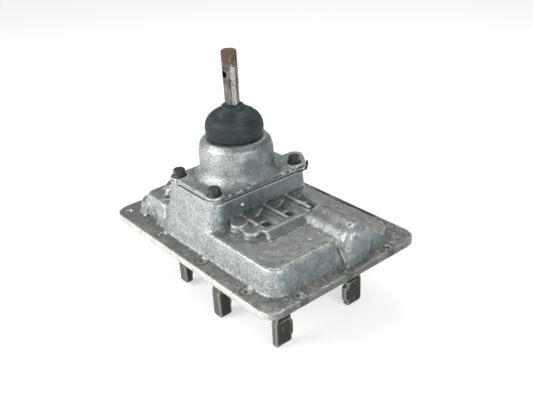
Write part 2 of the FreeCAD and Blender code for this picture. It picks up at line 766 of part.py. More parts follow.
def make_tower():
    """Flange with four ears, turned dome and socket. Local axes stand on the lever's axis."""
    piece = Piece("shift_tower", x="tower_x", y="tower_y")
    base = "turret_top + gasket_thickness"
    flange = piece.sketch("XY_Plane", base)
    rounded_rectangle(flange, "-tower_flange_half_length", "tower_flange_half_length",
                      "-tower_flange_half_width", "tower_flange_half_width", "tower_flange_corner")
    piece.pad(flange, "tower_plate_thickness")
    ears = piece.sketch("XY_Plane", base)
    for side_x in ("-", ""):
        for side_y in ("-", ""):
            circle(ears, f"{side_x}tower_bolt_spacing_x / 2", f"{side_y}tower_bolt_spacing_y / 2",
                   "tower_ear_radius")
    piece.pad(ears, "tower_flange_thickness")
    lug = piece.sketch("XY_Plane", base)
    polygon(lug, (("tower_lug_left", "tower_flange_half_width - 8"),
                  ("tower_lug_left", "tower_lug_reach - 8"), ("tower_lug_left + 6", "tower_lug_reach - 1"),
                  ("tower_lug_left + 13", "tower_lug_reach"),
                  ("tower_flange_half_length - 18", "tower_flange_half_width + 17"),
                  ("tower_flange_half_length - 3", "tower_flange_half_width + 6"),
                  ("tower_flange_half_length", "tower_flange_half_width - 8")))
    piece.pad(lug, "tower_plate_thickness")

    dome = piece.sketch("XZ_Plane")
    polygon(dome, (("0", f"{base} + 1"),
                   ("dome_foot_radius + 1.5", f"{base} + 1"),
                   ("dome_foot_radius + 1", f"{base} + tower_plate_thickness + 1.5"),
                   ("dome_foot_radius", f"{FLANGE_TOP} + 4"),
                   ("dome_radius", f"{FLANGE_TOP} + dome_foot_height + 3"),
                   ("dome_radius", "dome_shoulder"),
                   ("dome_round_radius", "dome_round_height"),
                   ("dome_shoulder_radius", "dome_top - dome_neck_height"),
                   ("dome_top_radius", "dome_top - dome_neck_height"),
                   ("dome_top_radius", "dome_top"), ("0", "dome_top")))
    piece.turn(dome)
    heights = ("dome_shoulder", "dome_round_height", "dome_top - dome_neck_height")
    corners = [number(item) for item in heights]
    radius = number("dome_shoulder_radius - 0.01")
    piece.round_edges("edge_round", lambda edge: any(at_height(edge, z) for z in corners)
                      and edge.BoundBox.XMax > radius)

    hollow = piece.sketch("XZ_Plane")
    low = "turret_top + gasket_thickness - 1"
    room = "dome_radius - dome_wall"
    sleeve = "ball_radius + ball_gap + socket_wall"
    ceiling = "dome_shoulder - dome_wall"
    polygon(hollow, (("0", low), (room, low), (room, ceiling), (sleeve, ceiling),
                     (sleeve, "socket_bottom"), ("0", "socket_bottom")))
    piece.turn(hollow, "Groove")

    socket = piece.sketch("XZ_Plane")
    socket_outline(socket)
    piece.turn(socket, "Groove")

    slots = piece.sketch("YZ_Plane")
    swing = "cross_pin_length / 2 * sin(shift_angle)"
    half = f"(cross_pin_diameter / 2 + {swing} + 1)"
    rectangle(slots, "-cross_pin_diameter / 2 - ball_gap / 2", "cross_pin_diameter / 2 + ball_gap / 2",
              f"pivot_height - {half}", f"pivot_height + {half}")
    piece.pocket(slots, "cross_pin_length + 2", Midplane=True)

    bolts = piece.sketch("XY_Plane", "turret_top")
    for side_x in ("-", ""):
        for side_y in ("-", ""):
            circle(bolts, f"{side_x}tower_bolt_spacing_x / 2", f"{side_y}tower_bolt_spacing_y / 2",
                   "(tower_bolt_diameter + tower_bolt_clearance) / 2")
    piece.pocket(bolts, "tower_flange_thickness + dome_foot_height + 1", Reversed=True)
    return piece.body


def socket_outline(sketch):
    """Half section of the ball's socket: a throat, a round seat, a straight bore and the spring's bore."""
    radius = number("ball_radius + ball_gap")
    centre = number("pivot_height")
    throat = number("socket_throat_radius")
    seat = centre - math.sqrt(radius**2 - throat**2)
    top = number("pivot_height + cup_bore_rise")
    bore = number("cup_outer_radius + ball_gap")
    end = number("dome_top + 1")
    low = number("socket_bottom - 1")
    circle_part = Part.Circle(Vector(0, centre, 0), Vector(0, 0, 1), radius)
    start = math.atan2(seat - centre, throat)
    first = sketch.GeometryCount
    sketch.addGeometry(Part.ArcOfCircle(circle_part, start, 0))
    corners = ((radius, centre), (radius, top), (bore, top), (bore, end), (0, end), (0, low),
               (throat, low), (throat, seat))
    for begin, finish in zip(corners, corners[1:]):
        sketch.addGeometry(Part.LineSegment(Vector(*begin, 0), Vector(*finish, 0)))
    for i in range(len(corners) - 1):
        sketch.addConstraint(Sketcher.Constraint("Coincident", first + i, 2, first + i + 1, 1))
    sketch.addConstraint(Sketcher.Constraint("Coincident", first + len(corners) - 1, 2, first, 1))
    for i in range(len(corners) - 1):
        upright = i in (0, 2, 4, 6)
        sketch.addConstraint(Sketcher.Constraint("Vertical" if upright else "Horizontal", first + 1 + i))
    fix(sketch, "DistanceX", first, 3, "0")
    fix(sketch, "DistanceY", first, 3, "pivot_height")
    fix(sketch, "Radius", first, 0, "ball_radius + ball_gap")
    fix(sketch, "DistanceX", first, 1, "socket_throat_radius")
    fix(sketch, "DistanceY", first, 2, "pivot_height")
    fix(sketch, "DistanceY", first + 1, 2, "pivot_height + cup_bore_rise")
    fix(sketch, "DistanceX", first + 3, 1, "cup_outer_radius + ball_gap")
    fix(sketch, "DistanceY", first + 3, 2, "dome_top + 1")
    fix(sketch, "DistanceX", first + 4, 2, "0")
    fix(sketch, "DistanceY", first + 5, 2, "socket_bottom - 1")


def make_tower_bolts():
    """Four flanged hexagon bolts that hold the tower down."""
    seat = f"{FLANGE_TOP}"
    head = doc.addObject("Part::Prism", "tower_bolt_head")
    flange = doc.addObject("Part::Cone", "tower_bolt_flange")
    shank = doc.addObject("Part::Cylinder", "tower_bolt_shank")
    head.Polygon = 6
    head.setExpression("Circumradius", sized("bolt_head_across / sqrt(3)"))
    head.setExpression("Height", sized("bolt_head_height"))
    flange.setExpression("Radius1", sized("bolt_flange_radius"))
    flange.setExpression("Radius2", sized("bolt_head_across / 2"))
    flange.setExpression("Height", sized("bolt_flange_height"))
    shank.setExpression("Radius", sized("tower_bolt_diameter / 2"))
    shank.setExpression("Height", sized("bolt_shank_length + 1"))
    shank.setExpression("Placement.Base.z", sized("-bolt_shank_length"))
    bolt = doc.addObject("Part::MultiFuse", "tower_bolt")
    bolt.Shapes = [head, flange, shank]
    copies = []
    for side_x in ("-", "+"):
        for side_y in ("-", "+"):
            copy = doc.addObject("Part::Compound", "tower_bolt_place")
            copy.Links = [bolt]
            copy.setExpression("Placement.Base.x", sized(f"tower_x {side_x} tower_bolt_spacing_x / 2"))
            copy.setExpression("Placement.Base.y", sized(f"tower_y {side_y} tower_bolt_spacing_y / 2"))
            copy.setExpression("Placement.Base.z", sized(seat))
            copies.append(copy)
    bolts = doc.addObject("Part::Compound", "tower_bolts")
    bolts.Links = copies
    bolts.Label = "tower_bolts"
    doc.recompute()
    return bolts


def make_lever():
    """Stub lever: rod, ball, shank and a flat finger. Local origin at the centre of the ball."""
    piece = Piece("stub_lever", x="tower_x", y="tower_y", z="pivot_height")
    stem = piece.sketch("XZ_Plane")
    polygon(stem, (("0", "finger_top - pivot_height"), ("shank_radius", "finger_top - pivot_height"),
                   ("shank_radius", "0"), ("rod_neck_radius", "rod_shoulder"),
                   ("rod_neck_radius", "rod_seat_bottom - 1 - pivot_height"),
                   ("rod_radius", "rod_seat_bottom - pivot_height"),
                   ("rod_radius", "rod_top - pivot_height - rod_bevel"),
                   ("rod_radius - rod_bevel", "rod_top - pivot_height"), ("0", "rod_top - pivot_height")))
    piece.turn(stem)
    ball = piece.body.newObject("PartDesign::AdditiveSphere", "stub_lever_ball")
    ball.setExpression("Radius", sized("ball_radius"))
    doc.recompute()
    finger = piece.sketch("XZ_Plane")
    half = "finger_neck / 2"
    wide = "shank_radius"
    polygon(finger, ((f"-{half}", "-finger_reach"), (half, "-finger_reach"),
                     (half, "finger_top - pivot_height - 6"), (wide, "finger_top - pivot_height + 2"),
                     (wide, "finger_top - pivot_height + 8"), (f"-{wide}", "finger_top - pivot_height + 8"),
                     (f"-{wide}", "finger_top - pivot_height + 2"),
                     (f"-{half}", "finger_top - pivot_height - 6")))
    piece.pad(finger, "finger_width", Midplane=True)
    tip = piece.sketch("XZ_Plane")
    circle(tip, "0", "-finger_reach", "finger_tip_radius")
    piece.pad(tip, "finger_width", Midplane=True)
    bore = piece.sketch("YZ_Plane")
    circle(bore, "0", "0", "cross_pin_diameter / 2 + cross_pin_fit")
    piece.pocket(bore, "2 * ball_radius + 2", Midplane=True)
    eye = piece.sketch("XZ_Plane")
    circle(eye, "0", "rod_top - pivot_height - rod_cross_hole_drop", "rod_cross_hole / 2")
    piece.pocket(eye, "2 * rod_radius + 2", Midplane=True)
    return piece.body


def make_pivot_pin():
    piece = Piece("pivot_pin", x="tower_x", y="tower_y", z="pivot_height")
    pin = piece.sketch("YZ_Plane")
    circle(pin, "0", "0", "cross_pin_diameter / 2")
    piece.pad(pin, "cross_pin_length", Midplane=True)
    piece.round_edges("0.8", lambda edge: edge.Curve.TypeId == "Part::GeomCircle", "Chamfer")
    return piece.body


def make_spring_cup():
    """Pressed ring that rests on the ball and carries the spring."""
    piece = Piece("ball_spring_cup", x="tower_x", y="tower_y", z="pivot_height")
    section = piece.sketch("XZ_Plane")
    polygon(section, (("cup_hole_radius", "cup_height"), ("cup_hole_radius + 4", "cup_height - 3"),
                      ("cup_outer_radius", "cup_height - 3"), ("cup_outer_radius", "cup_height + 3"),
                      ("cup_outer_radius - 1.2", "cup_height + 3"),
                      ("cup_outer_radius - 1.2", "cup_height - 3 + cup_thickness / 2"),
                      ("cup_hole_radius + 3", "cup_height - 3 + cup_thickness / 2"),
                      ("cup_hole_radius", "cup_height + cup_thickness / 2")))
    piece.turn(section)
    ball = piece.body.newObject("PartDesign::SubtractiveSphere", "cup_seat")
    ball.setExpression("Radius", sized("ball_radius + ball_gap"))
    doc.recompute()
    return piece.body


def coil(label, radius, wire, turns, length, x, y, z):
    """A spring bent from straight bars: a many-sided helix with a six-sided wire carried along it."""
    r, thick, rounds, rise = (number(item) for item in (radius, wire, turns, length))
    steps = round(rounds * number("coil_steps"))
    turn = 2 * math.pi * rounds / steps
    corners = [Vector(r * math.cos(turn * i), r * math.sin(turn * i), rise * i / steps)
               for i in range(steps + 1)]
    along = (corners[1] - corners[0]).normalize()
    side = along.cross(Vector(0, 0, 1)).normalize()
    over = side.cross(along)
    ring = [corners[0] + (side * math.cos(k * math.pi / 3) + over * math.sin(k * math.pi / 3)) * thick / 2
            for k in range(7)]
    sweep = Part.BRepOffsetAPI.MakePipeShell(Part.makePolygon(corners))
    sweep.setFrenetMode(False)
    sweep.setTransitionMode(1)
    sweep.add(Part.makePolygon(ring))
    sweep.build()
    sweep.makeSolid()
    spring = doc.addObject("Part::Feature", label)
    spring.Shape = sweep.shape()
    spring.Label = label
    for axis, place in (("x", x), ("y", y), ("z", z)):
        spring.setExpression(f"Placement.Base.{axis}", sized(place))
    doc.recompute()
    return spring


def make_ball_spring():
    rest = "pivot_height + cup_height - 3 + cup_thickness / 2 + ball_spring_wire / 2 + spring_gap"
    length = f"pivot_height + retainer_rise - ball_spring_wire / 2 - spring_gap - ({rest})"
    return coil("ball_spring", "ball_spring_radius", "ball_spring_wire", "ball_spring_turns",
                length, "tower_x", "tower_y", rest)


def make_retainer():
    """Ring that keeps the spring down in the top of the tower."""
    piece = Piece("spring_retainer", x="tower_x", y="tower_y", z="pivot_height + retainer_rise")
    ring = piece.sketch("XY_Plane")
    circle(ring, "0", "0", "cup_outer_radius + ball_gap")
    circle(ring, "0", "0", "retainer_hole_radius")
    piece.pad(ring, "retainer_thickness")
    return piece.body


def make_boot():
    """Rubber boot: lip round the tower's neck, wide bulge and a tight cone on the rod."""
    piece = Piece("lever_boot", x="tower_x", y="tower_y")
    bottom = "dome_top - dome_neck_height + boot_gap"
    neck = "rod_neck_radius + boot_gap"
    lip = "dome_top_radius + boot_gap"
    section = piece.sketch("XZ_Plane")
    polygon(section, (
        (lip, bottom), ("boot_lip_radius", bottom), ("boot_radius - 1", "boot_widest - 9"),
        ("boot_radius", "boot_widest"), ("boot_radius - 2.5", "boot_widest + 9"),
        ("boot_shoulder_radius", "boot_shoulder"),
        ("(boot_shoulder_radius + boot_crease_radius) / 2", "boot_crease - 3"),
        ("boot_crease_radius", "boot_crease"), (f"{neck} + 1.5", "boot_top"), (neck, "boot_top"),
        (neck, "boot_crease - 1"), ("boot_crease_radius", "boot_crease - boot_wall - 1"),
        ("boot_shoulder_radius - boot_wall", "boot_shoulder - boot_wall"),
        ("boot_radius - boot_wall", "boot_widest"),
        ("boot_radius - boot_wall - 1", "dome_top + boot_gap + 1"),
        (lip, "dome_top + boot_gap + 1")))
    piece.turn(section)
    return piece.body


HUB_X = {n: f"fork_{n}_hub_x" for n in BAR_Y}
FORK_X = {n: f"fork_{n}_x" for n in BAR_Y}


def make_bar(n):
    """Ground shift bar with detent notches below, interlock notches beside and pin holes."""
    piece = Piece(f"shift_bar_{n}", y=BAR_Y[n], z="bar_height")
    rod = piece.sketch("YZ_Plane", "bar_left")
    circle(rod, "0", "0", "bar_diameter / 2")
    piece.pad(rod, f"{BAR_RIGHT[n]} - bar_left")
    piece.round_edges("bar_bevel", lambda edge: edge.Curve.TypeId == "Part::GeomCircle", "Chamfer")
    reach = "(bar_diameter + ball_diameter) / 2 - notch_depth"
    for step in (-1, 0, 1):
        notch(piece, f"detent_x + {step} * {TRAVEL}", "0", f"-({reach})")
    side = "(bar_diameter + interlock_diameter) / 2 - notch_depth"
    for sign in {1: "+", 2: "-+", 3: "-"}[n]:
        notch(piece, "interlock_x", f"{sign}({side})", "0")
    pins = piece.sketch("XY_Plane")
    for place in (HUB_X[n], "tower_x"):
        circle(pins, place, "0", "lock_pin_diameter / 2 + pin_gap")
    piece.pocket(pins, "bar_diameter + 2", Midplane=True)
    if n == 2:
        cross = piece.sketch("XZ_Plane")
        circle(cross, "interlock_x", "0", "cross_interlock_diameter / 2 + ball_bore_gap")
        piece.pocket(cross, "bar_diameter + 2", Midplane=True)
    return piece.body


def notch(piece, x, y, z):
    """Round seat cut by a ball; its centre lies outside the bar."""
    ball = piece.body.newObject("PartDesign::SubtractiveSphere", f"{piece.body.Name}_notch")
    ball.setExpression("Radius", sized("ball_diameter / 2"))
    for axis, place in (("x", x), ("y", y), ("z", z)):
        ball.setExpression(f"Placement.Base.{axis}", sized(place))
    doc.recompute()


def arch(sketch, half, top, corner, end):
    """A round-cornered outline about the tower's axis that runs on below the legs' ends."""
    rounded_rectangle(sketch, f"tower_y - ({half})", f"tower_y + ({half})", f"{end} - 2 * fork_corner",
                      top, corner)


def make_fork(n):
    """Shift fork: horseshoe with a thin web, solid legs, leaning neck, split hub and two pads."""
    piece = Piece(f"shift_fork_{n}", x=FORK_X[n])
    sizes = ("half_gap", "half_width", "leg_end", "thickness")
    gap, half, end, thick = (f"fork_{n}_{size}" for size in sizes)
    body = piece.sketch("YZ_Plane")
    arch(body, half, "fork_gap_top + fork_crown", "fork_corner", end)
    piece.pad(body, thick, Midplane=True)
    hole = piece.sketch("YZ_Plane")
    arch(hole, gap, "fork_gap_top", "fork_gap_corner", end)
    piece.pocket(hole, thick, Midplane=True)
    for side in ("-", ""):
        recess = piece.sketch("YZ_Plane", f"{side}{thick} / 2")
        arch(recess, f"{half} - fork_rim", "fork_gap_top + fork_crown - fork_rim + 1",
             "fork_corner - fork_rim", end)
        arch(recess, f"{gap} + fork_rim", "fork_gap_top + fork_rim - 1", "fork_gap_corner + fork_rim", end)
        piece.pocket(recess, f"({thick} - fork_web) / 2", Reversed=(side == "-"))
    legs = piece.sketch("YZ_Plane")
    for side in ("-", "+"):
        ends = (f"tower_y {side} {gap}", f"tower_y {side} {half}")
        rectangle(legs, *(ends if side == "+" else reversed(ends)), f"{end} - 1", "fork_leg_top")
    piece.pad(legs, thick, Midplane=True)
    below = piece.sketch("YZ_Plane")
    rectangle(below, f"tower_y - {half} - 1", f"tower_y + {half} + 1", f"{end} - 3 * fork_corner", end)
    piece.pocket(below, f"{thick} + 2", Midplane=True)
    floor = number(end)
    piece.round_edges("fork_leg_bevel", lambda edge: at_height(edge, floor), "Chamfer")

    pads = piece.sketch("YZ_Plane")
    for side in (-1, 1):
        near = f"tower_y + {side} * ({gap} + 2)"
        far = f"tower_y + {side} * ({gap} - fork_pad_reach)"
        corners = (near, far) if side < 0 else (far, near)
        rectangle(pads, *corners, "fork_pad_height - fork_pad_length / 2",
                  "fork_pad_height + fork_pad_length / 2")
    piece.pad(pads, "fork_pad_width", Midplane=True)

    hub_middle = f"{HUB_X[n]} - ({FORK_X[n]})"
    hub = piece.sketch("YZ_Plane", f"{hub_middle} - fork_hub_length / 2")
    circle(hub, BAR_Y[n], "bar_height", "fork_hub_radius")
    piece.pad(hub, "fork_hub_length")
    neck = piece.sketch("XZ_Plane", f"-({BAR_Y[n]})")
    foot = "fork_gap_top + fork_crown - fork_neck_sink"
    polygon(neck, ((f"{hub_middle} - fork_hub_length / 2 + 2", "bar_height"),
                   (f"-{thick} / 2 + fork_neck_edge", foot),
                   (f"{thick} / 2 - fork_neck_edge - fork_{n}_trim", foot),
                   (f"{hub_middle} + fork_hub_length / 2 - 2", "bar_height")))
    piece.pad(neck, "fork_neck_width", Midplane=True)
    bore = piece.sketch("YZ_Plane", f"{hub_middle} - fork_hub_length")
    circle(bore, BAR_Y[n], "bar_height", "bar_diameter / 2 + fork_bar_fit")
    piece.pocket(bore, "2 * fork_hub_length", Reversed=True)
    pin = piece.sketch("XY_Plane", "bar_height + fork_hub_radius + 1")
    circle(pin, hub_middle, BAR_Y[n], "lock_pin_diameter / 2 + pin_gap")
    piece.pocket(pin, "fork_hub_radius + lock_pin_length / 2 + 1")
    return piece.body


def make_gate(n):
    """Shift gate: hub on its bar and a slotted jaw beside the lever's finger."""
    piece = Piece(f"shift_gate_{n}", x="tower_x")
    hub = piece.sketch("YZ_Plane")
    circle(hub, BAR_Y[n], "bar_height", "gate_hub_radius")
    piece.pad(hub, "gate_length", Midplane=True)
    arm = piece.sketch("YZ_Plane")
    side = {1: "+", 2: "+", 3: "-"}[n]
    back = {1: "-", 2: "-", 3: "+"}[n]
    jaw = BAR_Y[2] if n == 2 else f"tower_y {back} gate_pitch"
    if n == 2:
        rectangle(arm, f"{jaw} - gate_thickness / 2", f"{jaw} + gate_thickness / 2", "bar_height",
                  "gate_top")
    else:
        polygon(arm, ((f"{BAR_Y[n]} {back} 7", "bar_height"), (f"{BAR_Y[n]} {back} 7", "gate_top - 4"),
                      (f"{BAR_Y[n]} {back} 3", "gate_top"), (f"{jaw} {side} gate_thickness / 2", "gate_top"),
                      (f"{jaw} {side} gate_thickness / 2", "gate_bottom"),
                      (f"{BAR_Y[n]} {side} 12", "gate_bottom"), (f"{BAR_Y[n]} {side} 8", "gate_bottom - 5"),
                      (f"{BAR_Y[n]} {side} 8", "bar_height")))
    piece.pad(arm, "gate_length", Midplane=True)
    slot = piece.sketch("XY_Plane", "gate_top + 1")
    half = "finger_tip_radius + gate_slot_gap"
    near = f"{jaw} {back} (gate_thickness / 2 + gate_slot_relief)"
    far = f"{jaw} {side} (gate_thickness / 2 + 2)"
    low, high = (near, far) if side == "+" else (far, near)
    rectangle(slot, f"-({half})", half, low, high)
    depth = "gate_top + 1 - (bar_height + gate_hub_radius + 0.5)" if n == 2 else "gate_top - gate_bottom + 2"
    piece.pocket(slot, depth)
    bore = piece.sketch("YZ_Plane")
    circle(bore, BAR_Y[n], "bar_height", "bar_diameter / 2 + fork_bar_fit")
    piece.pocket(bore, "gate_length + 2", Midplane=True)
    pin = piece.sketch("XY_Plane", "bar_height - gate_hub_radius - 1")
    circle(pin, "0", BAR_Y[n], "lock_pin_diameter / 2 + pin_gap")
    piece.pocket(pin, "gate_hub_radius + 1 + lock_pin_length / 2 + pin_gap", Reversed=True)
    return piece.body


def cylinder(name, radius, length, x, y, z, along="z"):
    """A round piece that starts at a place and runs along one axis."""
    item = doc.addObject("Part::Cylinder", name)
    item.setExpression("Radius", sized(radius))
    item.setExpression("Height", sized(length))
    for axis, place in (("x", x), ("y", y), ("z", z)):
        item.setExpression(f"Placement.Base.{axis}", sized(place))
    if along == "x":
        item.Placement.Rotation = FreeCAD.Rotation(Vector(0, 1, 0), 90)
    if along == "y":
        item.Placement.Rotation = FreeCAD.Rotation(Vector(1, 0, 0), -90)
    return item


def group(label, items):
    """Several like pieces under one name."""
    item = doc.addObject("Part::Compound", label)
    item.Links = items
    item.Label = label
    doc.recompute()
    return item


def make_lock_pins(n):
    """The two pins that hold a fork and a gate on one bar."""
    low = "bar_height - lock_pin_length / 2"
    return group(f"lock_pins_{n}", [
        cylinder(f"lock_pin_{n}", "lock_pin_diameter / 2", "lock_pin_length", place, BAR_Y[n], low)
        for place in (HUB_X[n], "tower_x")])


BALL_REST = "(bar_height - bar_diameter / 2 - ball_lift - ball_diameter / 2)"
PLUG_TOP = "(middle_web_bottom + detent_plug_length)"


def make_detent_ball(n):
    ball = doc.addObject("Part::Sphere", f"detent_ball_{n}")
    ball.Label = f"detent_ball_{n}"
    ball.setExpression("Radius", sized("ball_diameter / 2"))
    for axis, place in (("x", "detent_x"), ("y", BAR_Y[n]), ("z", BALL_REST)):
        ball.setExpression(f"Placement.Base.{axis}", sized(place))
    doc.recompute()
    return ball


def make_detent_spring(n):
    start = f"({PLUG_TOP} + detent_wire / 2 + spring_gap)"
    touch = "((ball_diameter + detent_wire) / 2 + spring_gap)"
    top = f"({BALL_REST} - sqrt({touch}^2 - detent_spring_radius^2))"
    return coil(f"detent_spring_{n}", "detent_spring_radius", "detent_wire", "detent_spring_turns",
                f"{top} - {start}", "detent_x", BAR_Y[n], start)


def make_detent_plugs():
    return group("detent_plugs", [
        cylinder("detent_plug", "detent_plug_diameter / 2", "detent_plug_length", "detent_x", place,
                 "middle_web_bottom") for place in BAR_Y.values()])


def make_interlock_pins():
    """Two loose pins between neighbouring bars."""
    length = "bar_pitch - bar_diameter - 2 * interlock_gap"
    return group("interlock_pins", [
        cylinder("interlock_pin", "interlock_diameter / 2", length, "interlock_x",
                 f"{BAR_Y[n]} + bar_diameter / 2 + interlock_gap", "bar_height", "y") for n in (1, 2)])


def make_cross_interlock():
    length = "bar_diameter - 2 * notch_depth"
    pin = cylinder("interlock_cross_pin", "cross_interlock_diameter / 2", length, "interlock_x",
                   f"{BAR_Y[2]} - ({length}) / 2", "bar_height", "y")
    pin.Label = "interlock_cross_pin"
    doc.recompute()
    return pin


def make_interlock_plug():
    plug = cylinder("interlock_plug", "interlock_diameter / 2", "bore_plug_length", "interlock_x",
                    f"{BAR_Y[1]} - web_margin", "bar_height", "y")
    plug.Label = "interlock_plug"
    doc.recompute()
    return plug


def make_bar_plugs():
    return group("bar_bore_plugs", [
        cylinder("bar_bore_plug", "cup_plug_diameter / 2 - plug_gap", "cup_plug_length - 0.5",
                 "bar_end_boss_left + 0.5", place, "bar_height", "x") for place in BAR_Y.values()])


PIECES = [make_housing(), make_gasket(), make_tower(), make_tower_bolts(), make_lever(),
          make_pivot_pin(), make_spring_cup(), make_ball_spring(), make_retainer(), make_boot(),
          make_detent_plugs(), make_interlock_pins(), make_cross_interlock(), make_interlock_plug(),
          make_bar_plugs()]
for n in BAR_Y:
    PIECES += [make_bar(n), make_fork(n), make_gate(n), make_lock_pins(n), make_detent_ball(n),
               make_detent_spring(n)]


def check_and_write():
    doc.recompute()
    for item in doc.Objects:
        if "Invalid" in item.State or "Error" in item.State:
            raise RuntimeError(f"{item.Name}: {item.State}")
    os.makedirs("parts", exist_ok=True)
    for item in PIECES:
        if item.Shape.isNull() or not item.Shape.isValid():
            raise RuntimeError(f"{item.Label} has no valid shape")
        item.Shape.exportStep(f"parts/{item.Label}.step")
        print(item.Label, len(item.Shape.Solids), round(item.Shape.Volume), len(item.Shape.Faces))


check_and_write()
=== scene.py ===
import logging
import math
from dataclasses import dataclass
from enum import Enum
from functools import reduce

import bmesh
import bpy
import numpy as np
from mathutils import Matrix, Vector


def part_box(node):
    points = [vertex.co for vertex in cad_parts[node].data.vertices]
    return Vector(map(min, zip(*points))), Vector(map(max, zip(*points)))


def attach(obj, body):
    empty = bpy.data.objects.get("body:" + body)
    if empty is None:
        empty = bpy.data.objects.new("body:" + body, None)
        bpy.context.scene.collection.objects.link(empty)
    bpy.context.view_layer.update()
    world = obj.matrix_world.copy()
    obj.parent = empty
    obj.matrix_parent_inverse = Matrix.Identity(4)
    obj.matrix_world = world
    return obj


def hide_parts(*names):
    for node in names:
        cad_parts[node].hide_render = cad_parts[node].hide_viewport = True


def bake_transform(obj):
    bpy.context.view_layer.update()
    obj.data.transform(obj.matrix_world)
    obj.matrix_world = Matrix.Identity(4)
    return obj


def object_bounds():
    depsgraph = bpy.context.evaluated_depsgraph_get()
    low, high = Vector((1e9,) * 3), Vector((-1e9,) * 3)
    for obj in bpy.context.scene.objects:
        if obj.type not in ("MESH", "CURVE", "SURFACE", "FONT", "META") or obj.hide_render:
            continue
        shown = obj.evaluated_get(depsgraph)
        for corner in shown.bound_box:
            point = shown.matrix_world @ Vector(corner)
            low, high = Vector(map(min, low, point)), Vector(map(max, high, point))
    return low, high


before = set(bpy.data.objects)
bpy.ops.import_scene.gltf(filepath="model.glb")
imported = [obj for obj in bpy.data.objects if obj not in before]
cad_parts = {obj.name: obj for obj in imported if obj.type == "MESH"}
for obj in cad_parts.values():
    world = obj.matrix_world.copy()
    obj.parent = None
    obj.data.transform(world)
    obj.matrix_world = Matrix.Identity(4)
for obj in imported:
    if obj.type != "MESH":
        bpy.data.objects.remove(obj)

# A cast gearbox cover with a stub lever, seen from its front right.
# X runs along the shift bars, Z is up, the case face is at Z = 0. The scene is in metres, and
# places and sizes in the tables below are in millimetres where no unit stands.

MM = 0.001
TRIANGLE_LIMIT = 190_000
GOLDEN_ANGLE = 2.39996
GOLDEN_RATIO = 0.618
LOG = logging.getLogger("shift_bar_housing")
CAD_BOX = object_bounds()

# Places that several classes share, in millimetres.
LEVER_AXIS = (-24.0, -12.0)
PIVOT_HEIGHT = 112.0
BOLT_OFFSET = (40.25, 68.5)
BAR_LINES = (-51.5, -12.0, 27.5)
BAR_HEIGHT = 36.0

Colour = tuple[float, float, float]
Place = tuple[float, float, float]
Flat = tuple[float, float]


class Signal:
    """A shader socket that can be used in Python arithmetic.

    Every operator adds one Math node, and a plain number is written on its socket.
    """

    def __init__(self, shader: "Shader", socket: bpy.types.NodeSocket) -> None:
        """Keep the socket and the shader that owns it."""
        self.shader = shader
        self.socket = socket

    def math(self, operation: str, *others: "Signal | float", clamp: bool = False) -> "Signal":
        """Add a Math node.

        Args:
            operation: the Math node's operation.
            others: the second and third operands.
            clamp: whether the result is held between 0 and 1.

        Returns:
            The node's result.
        """
        settings = {"operation": operation, "use_clamp": clamp}
        return self.shader.node("ShaderNodeMath", settings, {i: v for i, v in enumerate((self, *others))})

    def __add__(self, other: "Signal | float") -> "Signal":
        """Sum."""
        return self.math("ADD", other)

    __radd__ = __add__

    def __sub__(self, other: "Signal | float") -> "Signal":
        """Difference."""
        return self.math("SUBTRACT", other)

    def __rsub__(self, other: float) -> "Signal":
        """Number minus signal."""
        return self.shader.node("ShaderNodeMath", {"operation": "SUBTRACT"}, {0: other, 1: self})

    def __mul__(self, other: "Signal | float") -> "Signal":
        """Product."""
        return self.math("MULTIPLY", other)

    def __pow__(self, other: float) -> "Signal":
        """Power."""
        return self.math("POWER", other)

    def __neg__(self) -> "Signal":
        """Sign change."""
        return self.math("MULTIPLY", -1.0)

    def clipped(self) -> "Signal":
        """The value held between 0 and 1."""
        return self.math("ADD", 0.0, clamp=True)

    def least(self, other: "Signal | float") -> "Signal":
        """The smaller of two values."""
        return self.math("MINIMUM", other)

    def most(self, other: "Signal | float") -> "Signal":
        """The larger of two values."""
        return self.math("MAXIMUM", other)

    def size(self) -> "Signal":
        """The value without its sign."""
        return self.math("ABSOLUTE")

    def rise(self, low: float, high: float) -> "Signal":
        """A smooth step.

        Args:
            low: where the step is 0.
            high: where the step is 1; it may lie under low, for a falling step.

        Returns:
            0 to 1, with flat ends.
        """
        inputs = {"Value": self, "From Min": low, "From Max": high}
        return self.shader.node("ShaderNodeMapRange", {"interpolation_type": "SMOOTHSTEP"}, inputs)


